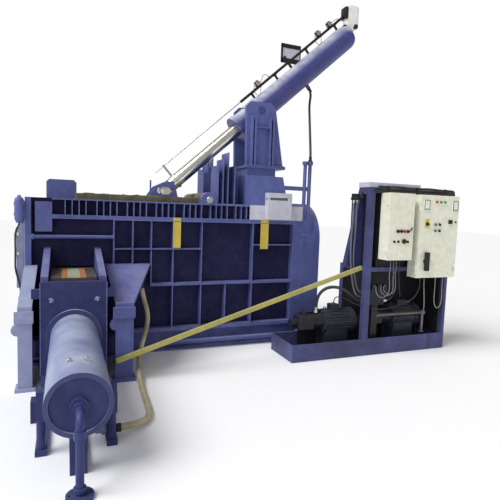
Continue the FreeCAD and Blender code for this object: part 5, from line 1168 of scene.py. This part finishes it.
# %% Plugs on the valve coils
COIL_X, GLAND_Y = (2.0708, 2.1525, 2.2342), -1.310
plugs = [rounded_block((x - 0.0145, -1.208, 0.770), (x + 0.0145, -1.172, 0.812), 0.003) for x in COIL_X]
finish_piece(joined(plugs), "coil_plugs", black_gloss)
gland_places = [facing((x, GLAND_Y, 1.106), DOWN) for x in (2.205, 2.245, 2.285, 2.325)]
gland_places += [facing((x, GLAND_Y, 0.900), DOWN) for x in (2.640, 2.700, 2.870, 2.980)]
gland_places += [facing((x, -1.206, 0.800), NEAR) for x in COIL_X]
finish_piece(
    copies(turned([(0.0145, 0.007), (0.0125, 0.008), (0.0125, 0.016), (0.0085, 0.021)], 10), gland_places),
    "cable_glands", black_gloss,
)

# %% The control cables
COIL_CABLE, MOTOR_CABLE, SPARE_LEAD = 0.0045, 0.0060, 0.0046
UNIT_CABLES = {
    "coil_cable_1": (grey_cable, COIL_CABLE, [
        (2.205, -1.310, 1.090), (2.205, -1.312, 1.010), (2.194, -1.314, 0.910), (2.198, -1.328, 0.835),
        (2.186, -1.341, 0.741), (2.130, -1.331, 0.676), (2.059, -1.320, 0.691), (2.035, -1.298, 0.750),
        (2.071, -1.259, 0.800), (2.0708, -1.222, 0.800),
    ]),
    "coil_cable_2": (grey_cable, COIL_CABLE, [
        (2.245, -1.310, 1.090), (2.245, -1.312, 1.010), (2.240, -1.330, 0.950), (2.228, -1.342, 0.870),
        (2.238, -1.345, 0.750), (2.171, -1.337, 0.690), (2.107, -1.315, 0.726), (2.105, -1.288, 0.777),
        (2.152, -1.251, 0.800), (2.1525, -1.222, 0.800),
    ]),
    "coil_cable_3": (grey_cable, COIL_CABLE, [
        (2.285, -1.310, 1.090), (2.285, -1.312, 1.010), (2.284, -1.306, 0.930), (2.287, -1.318, 0.846),
        (2.284, -1.320, 0.731), (2.214, -1.302, 0.706), (2.174, -1.273, 0.734), (2.182, -1.234, 0.778),
        (2.234, -1.222, 0.800), (2.2342, -1.221, 0.800),
    ]),
    "motor_cable_a": (rubber, MOTOR_CABLE, [
        (2.325, -1.310, 1.090), (2.325, -1.312, 1.020), (2.330, -1.312, 0.930), (2.350, -1.300, 0.830),
        (2.395, -1.265, 0.735), (2.455, -1.205, 0.668), (2.520, -1.135, 0.640), (2.580, -1.065, 0.650),
        (2.625, -1.005, 0.650), (2.648, -0.968, 0.620), (2.650, -0.960, 0.567),
    ]),
    "motor_cable_b": (rubber, MOTOR_CABLE, [
        (2.640, -1.310, 0.885), (2.640, -1.312, 0.820), (2.628, -1.308, 0.730), (2.590, -1.290, 0.655),
        (2.520, -1.262, 0.600), (2.420, -1.236, 0.560), (2.300, -1.235, 0.535), (2.170, -1.236, 0.525),
        (2.040, -1.170, 0.530), (1.940, -1.090, 0.560), (1.850, -1.020, 0.610), (1.780, -0.960, 0.640),
        (1.738, -0.930, 0.615), (1.730, -0.930, 0.547),
    ]),
    "spare_loop_a": (pale_cable, SPARE_LEAD, [
        (2.870, -1.310, 0.885), (2.870, -1.312, 0.820), (2.864, -1.316, 0.720), (2.862, -1.318, 0.620),
        (2.882, -1.318, 0.545), (2.925, -1.316, 0.515), (2.968, -1.314, 0.548), (2.986, -1.312, 0.625),
        (2.984, -1.310, 0.720), (2.980, -1.310, 0.820), (2.980, -1.310, 0.885),
    ]),
    "spare_loop_b": (pale_cable, SPARE_LEAD, [
        (2.700, -1.310, 0.885), (2.700, -1.314, 0.810), (2.708, -1.318, 0.700), (2.735, -1.300, 0.600),
        (2.780, -1.255, 0.520), (2.830, -1.190, 0.455), (2.868, -1.110, 0.420), (2.882, -1.030, 0.430),
        (2.872, -0.975, 0.470), (2.830, -0.955, 0.520), (2.775, -0.955, 0.548), (2.720, -0.958, 0.540),
    ]),
}
for name, (finish, radius, points) in UNIT_CABLES.items():
    cable(name, points, radius, finish)

# %% [markdown]
# **Oil hoses of the unit.** Hoses from the first pump and from a manifold on the frame's left
# post feed the valve block, and one leads back up from it.

# %% The unit's oil hoses
manifold = joined([
    rounded_block((1.795, -1.130, 1.752), (1.944, -1.075, 1.782), 0.003),
    rounded_block((1.800, -1.128, 1.782), (1.885, -1.078, 1.824), 0.004),
    copies(bolt(0.010), [facing((x, -1.100, 1.782), UP) for x in (1.905, 1.930)]),
])
finish_piece(manifold, "hose_manifold", oily_shaded_steel)
UNIT_HOSES = {
    "press_hose_a": (silver_hose, 0.010, [
        (1.818, -1.103, 1.752), (1.818, -1.103, 1.640), (1.812, -1.106, 1.480), (1.806, -1.108, 1.320),
        (1.808, -1.108, 1.160), (1.822, -1.108, 1.010), (1.845, -1.107, 0.870), (1.872, -1.106, 0.760),
        (1.910, -1.105, 0.680), (1.960, -1.105, 0.650), (2.030, -1.105, 0.650),
    ]),
    "press_hose_b": (silver_hose, 0.010, [
        (1.862, -1.103, 1.752), (1.862, -1.103, 1.650), (1.866, -1.100, 1.500), (1.860, -1.100, 1.340),
        (1.850, -1.102, 1.180), (1.856, -1.104, 1.030), (1.880, -1.104, 0.900), (1.905, -1.105, 0.800),
        (1.935, -1.105, 0.735), (1.975, -1.105, 0.700), (2.030, -1.105, 0.700),
    ]),
    "pump_hose": (rubber, 0.018, [
        (1.500, -0.930, 0.460), (1.500, -0.930, 0.570), (1.525, -0.945, 0.680), (1.600, -0.985, 0.755),
        (1.710, -1.035, 0.765), (1.810, -1.075, 0.720), (1.890, -1.098, 0.650), (1.955, -1.105, 0.605),
        (2.030, -1.105, 0.600),
    ]),
    "return_hose": (rubber, 0.018, [
        (2.275, -1.105, 0.600), (2.345, -1.105, 0.600), (2.420, -1.090, 0.620), (2.490, -1.045, 0.690),
        (2.530, -1.000, 0.790), (2.540, -0.985, 0.890), (2.540, -0.985, 0.960),
    ]),
}
ends = []
for name, (finish, radius, points) in UNIT_HOSES.items():
    cable(name, points, radius, finish)
    ends.append(copies(hose_end(radius, radius * 3.4), [end_of(points), end_of(points[::-1])]))
finish_piece(joined(ends), "unit_hose_ends", machined)

# %% [markdown]
# ## The left end
# A horizontal pipe braces the corner, a short accumulator stands on the end wall, and a black
# hose loops down beside a pale side plate, held by two clips.

# %% The corner pipe and the accumulator
corner_pipe = turned([
    (0.026, 0.006), (0.030, 0.012), (0.030, 0.030), (0.019, 0.036), (0.019, 0.775), (0.026, 0.779),
    (0.026, 0.790),
], 24)
finish_piece(copies(corner_pipe, [facing((-1.482, -0.434, 1.267), RIGHT)]), "corner_pipe", blue)
accumulator = turned([
    (0.030, 0.012), (0.042, 0.030), (0.044, 0.060), (0.044, 0.200), (0.041, 0.226), (0.030, 0.244),
    (0.016, 0.254), (0.014, 0.268),
], 28)
bands = [rounded_block((-1.622, -0.500, z), (-1.528, -0.440, z + 0.030), 0.004) for z in (1.470, 1.570)]
accumulator = copies(accumulator, [facing((-1.575, -0.480, 1.400), UP)])
finish_piece(joined([accumulator, *bands]), "accumulator", blue)
side_plate = rounded_block((-1.6060, -0.4545, 0.760), (-1.5440, -0.4490, 1.360), 0.002)
finish_piece(side_plate, "left_side_plate", lilac)
clips = [
    rounded_block((-1.628, -0.470, z - 0.014), (-1.580, -0.4530, z + 0.014), 0.003) for z in (1.290, 1.100)
]
finish_piece(joined(clips), "hose_clips", white_plastic)
LEFT_LOOP = [
    (-1.575, -0.480, 1.405), (-1.580, -0.480, 1.372), (-1.600, -0.476, 1.345), (-1.613, -0.474, 1.290),
    (-1.614, -0.474, 1.200), (-1.612, -0.474, 1.100), (-1.616, -0.474, 1.010), (-1.612, -0.474, 0.930),
    (-1.590, -0.474, 0.850), (-1.574, -0.474, 0.780), (-1.570, -0.470, 0.720), (-1.570, -0.452, 0.690),
]
cable("left_loop", LEFT_LOOP, 0.0085, rubber)

# %% [markdown]
# **Small things on the side cylinder.** Two lifting lugs are welded near its end. Weld beads run
# along the plate that carries it, and along seams of the wall and the pedestal.

# %% Lifting lugs and weld beads
LUG_FRONT = -2.512
lugs = []
for x in (-1.143, -1.039):
    lugs.append(rounded_block((x - 0.016, LUG_FRONT, 0.636), (x + 0.016, -2.500, 0.668), 0.005))
    lugs.append(copies(ring(0.006, 0.011, 0.004, 16), [facing((x, LUG_FRONT, 0.656), NEAR)]))
finish_piece(joined(lugs), "lifting_lugs", machined)
BEAD_RADIUS, BEAD_NECK, BEAD_PITCH = 0.005, 0.78, 0.012


def weld_bead(first, second):
    """A bead: a thin turned bar that is wide and narrow in turn."""
    start, end = Vector(first), Vector(second)
    length = (end - start).length
    steps = max(4, int(length / BEAD_PITCH) // 2 * 2)
    profile = [
        (BEAD_RADIUS * (BEAD_NECK if step % 2 else 1.0), length * (step + 1) / steps) for step in range(steps)
    ]
    return copies(turned(profile, 7), [facing(start, end - start)])


BEADS = [
    ((-1.361, -1.2315, 0.125), (-1.361, -1.2315, 0.925)),
    ((-0.821, -1.2315, 0.125), (-0.821, -1.2315, 0.925)),
    ((-0.690, -0.4515, 1.449), (1.440, -0.4515, 1.449)),
    ((0.838, -0.2905, 2.141), (1.352, -0.2905, 2.141)),
    ((0.838, -0.2315, 2.142), (1.222, -0.2315, 2.142)),
    ((-0.743, -1.1215, 0.726), (-0.585, -1.1215, 0.726)),
    ((1.334, -0.440, 1.657), (0.452, -0.4495, 1.657)),
]
finish_piece(joined([weld_bead(*seam) for seam in BEADS]), "weld_beads", blue)

# %% [markdown]
# ## Dirt on the lid
# Oil, rust and metal dust bake into a lumpy crust on the lid. A fine grid is displaced by a coarse
# and a fine clouds texture, what falls under the lid's own surface is deleted, and the rest gets
# a thickness.

# %% The crust
CRUST_WALL, CRUST_GAP, LUMP_MIDDLE = 0.004, 0.0002, 0.47


def crust(name, low, high, top, relief, cells, body, keep, lump_size):
    """A broken layer of dirt on a level surface; keep tells where it may lie."""
    clear()
    centre = ((low[0] + high[0]) / 2, (low[1] + high[1]) / 2, top)
    bpy.ops.mesh.primitive_grid_add(x_subdivisions=cells[0], y_subdivisions=cells[1], size=1, location=centre)
    piece = bpy.context.object
    piece.scale = (high[0] - low[0], high[1] - low[1], 1)
    settle(piece)
    for noise_scale, strength in ((lump_size, relief), (lump_size * 0.28, relief * 0.55)):
        lumps = bpy.data.textures.new(name, "CLOUDS")
        lumps.noise_scale = noise_scale
        lumps.noise_depth = 3
        apply_modifier(
            piece, "DISPLACE", texture=lumps, texture_coords="LOCAL", direction="Z",
            strength=strength, mid_level=LUMP_MIDDLE,
        )
    choose_faces(piece, lambda centre, normal: centre.z < top + CRUST_GAP or not keep(centre.x, centre.y))
    bpy.ops.mesh.delete(type="FACE")
    bpy.ops.object.mode_set(mode="OBJECT")
    apply_modifier(piece, "SOLIDIFY", thickness=CRUST_WALL, offset=-1)
    return finish_piece(piece, name, lid_crust, body, smooth=60)


def off_the_clevis(x, y):
    """Keeps the dirt off the clevis and the lid's hinge end."""
    return not (-0.36 < x < 0.16 and abs(y) < 0.17) and x < 0.20


def anywhere(x, y):
    return True


crust(
    "lid_dirt", (-1.050, -0.330), (0.240, 0.330), 1.715, 0.030, (150, 70), "lid_body", off_the_clevis, 0.10
)
crust("deck_dirt", (-1.520, -0.345), (-1.075, 0.345), 1.640, 0.026, (50, 70), "press", anywhere, 0.12)

# %% [markdown]
# ## What fills the power unit
# Thin sheets, whose dark finishes are partly painted shade, close the unit's sides, a bundle of
# black cables runs along its top rail, and a steel return pipe crosses in front of the second motor.

# %% Sheets, cable bundle and return pipe
sheets = joined([
    rounded_block((3.087, -1.168, 0.186), (3.097, -0.780, 0.964), 0),
    rounded_block((2.014, -1.160, 1.006), (2.018, -0.780, 1.836), 0),
])
inset_faces(
    sheets, lambda centre, normal: abs(normal.x) > SQUARE_ON, (0.020, 0), (0.004, -0.001), individual=True
)
finish_piece(sheets, "unit_end_sheets", oily_shaded_steel)
side_sheet = rounded_block((1.700, -1.085, 1.000), (1.960, -1.081, 1.838), 0)
finish_piece(cut_off(side_sheet, (1.764, 0, 1.005), (-0.835, 0, 0.190)), "unit_side_sheet", shaded_navy)
BUNDLE_LEFT, BUNDLE_STEP, SWAY = 1.990, 0.150, 0.006
BUNDLE = ((-1.246, 1.862, 0.013), (-1.246, 1.889, 0.012), (-1.238, 1.912, 0.010))
bundle = []
for number, (y, z, radius) in enumerate(BUNDLE):
    points = [(BUNDLE_LEFT + 0.03 * number, y, z)]
    for step in range(1, 8):
        sway = SWAY * math.sin(step * 2.1 + number * 1.7)
        points.append((BUNDLE_LEFT + step * BUNDLE_STEP, y - 0.002 + sway * 0.3, z + sway))
    points += [
        (3.120, y, z - 0.004), (3.150, y + 0.012, z - 0.020), (3.158, y + 0.030, z - 0.046),
        (3.158, -1.200, z - 0.070),
    ]
    bundle.append(tube_and_path(f"top_cable_{number + 1}", points, radius, CABLE_DETAIL)[0])
finish_piece(joined(bundle), "top_cables", rubber)
clips = [rounded_block((x, -1.264, 1.846), (x + 0.016, -1.229, 1.922), 0.003) for x in (2.150, 2.560, 2.980)]
finish_piece(joined(clips), "bundle_clips", black_gloss)
level_run = turned([(0.028, 0.012), (0.018, 0.016), (0.018, 0.700), (0.028, 0.704), (0.028, 0.720)], 20)
upright = turned([(0.034, 0.010), (0.019, 0.014), (0.019, 0.215), (0.034, 0.222), (0.034, 0.262)], 20)
return_pipe = joined([
    copies(level_run, [facing((2.190, -1.120, 0.430), RIGHT)]),
    copies(upright, [facing((2.885, -1.120, 0.190), UP)]),
])
finish_piece(return_pipe, "return_pipe", worn_steel)

# %% [markdown]
# **Motors.** Each motor gets cooling fins round its sides, a lifting eye and the lid of its
# terminal box. The fins leave out the top, where the box sits, and the foot.

# %% Motor fins, eyes and box lids
MOTOR_RADIUS, FIN_COUNT = 0.125, 26
FIN_LOWEST, FIN_HIGHEST = -0.80, 0.72
FIN_ROOT, FIN_TIP = MOTOR_RADIUS - 0.004, MOTOR_RADIUS + 0.010
EYE_LIFT = Matrix.Translation((0, 0.018, -0.005))
fins, eyes, lids = [], [], []
for left, right, y, z, box_x, box_top in (
    (1.560, 1.900, -0.930, 0.360, 1.730, 0.547), (2.480, 2.820, -0.960, 0.380, 2.650, 0.567),
):
    for angle in (math.tau * step / FIN_COUNT for step in range(FIN_COUNT)):
        if FIN_LOWEST <= math.sin(angle) <= FIN_HIGHEST:
            fin = rounded_block((left + 0.060, -0.0022, FIN_ROOT), (right - 0.070, 0.0022, FIN_TIP), 0)
            turn = Matrix.Rotation(math.pi / 2 - angle, 4, "X")
            fin.matrix_world = Matrix.Translation((0, y, z)) @ turn
            fins.append(settle(fin))
    eyes.append(facing((left + 0.055, y, z + MOTOR_RADIUS - 0.004), (0, 1, 0)) @ EYE_LIFT)
    lids.append(rounded_block(
        (box_x - 0.046, y - 0.046, box_top - 0.004), (box_x + 0.046, y + 0.046, box_top + 0.006), 0.003
    ))
finish_piece(joined(fins), "motor_fins", motor_paint, smooth=0)
finish_piece(copies(ring(0.012, 0.021, 0.010, 20), eyes), "motor_eyes", motor_paint)
finish_piece(joined(lids), "motor_box_lids", motor_paint)
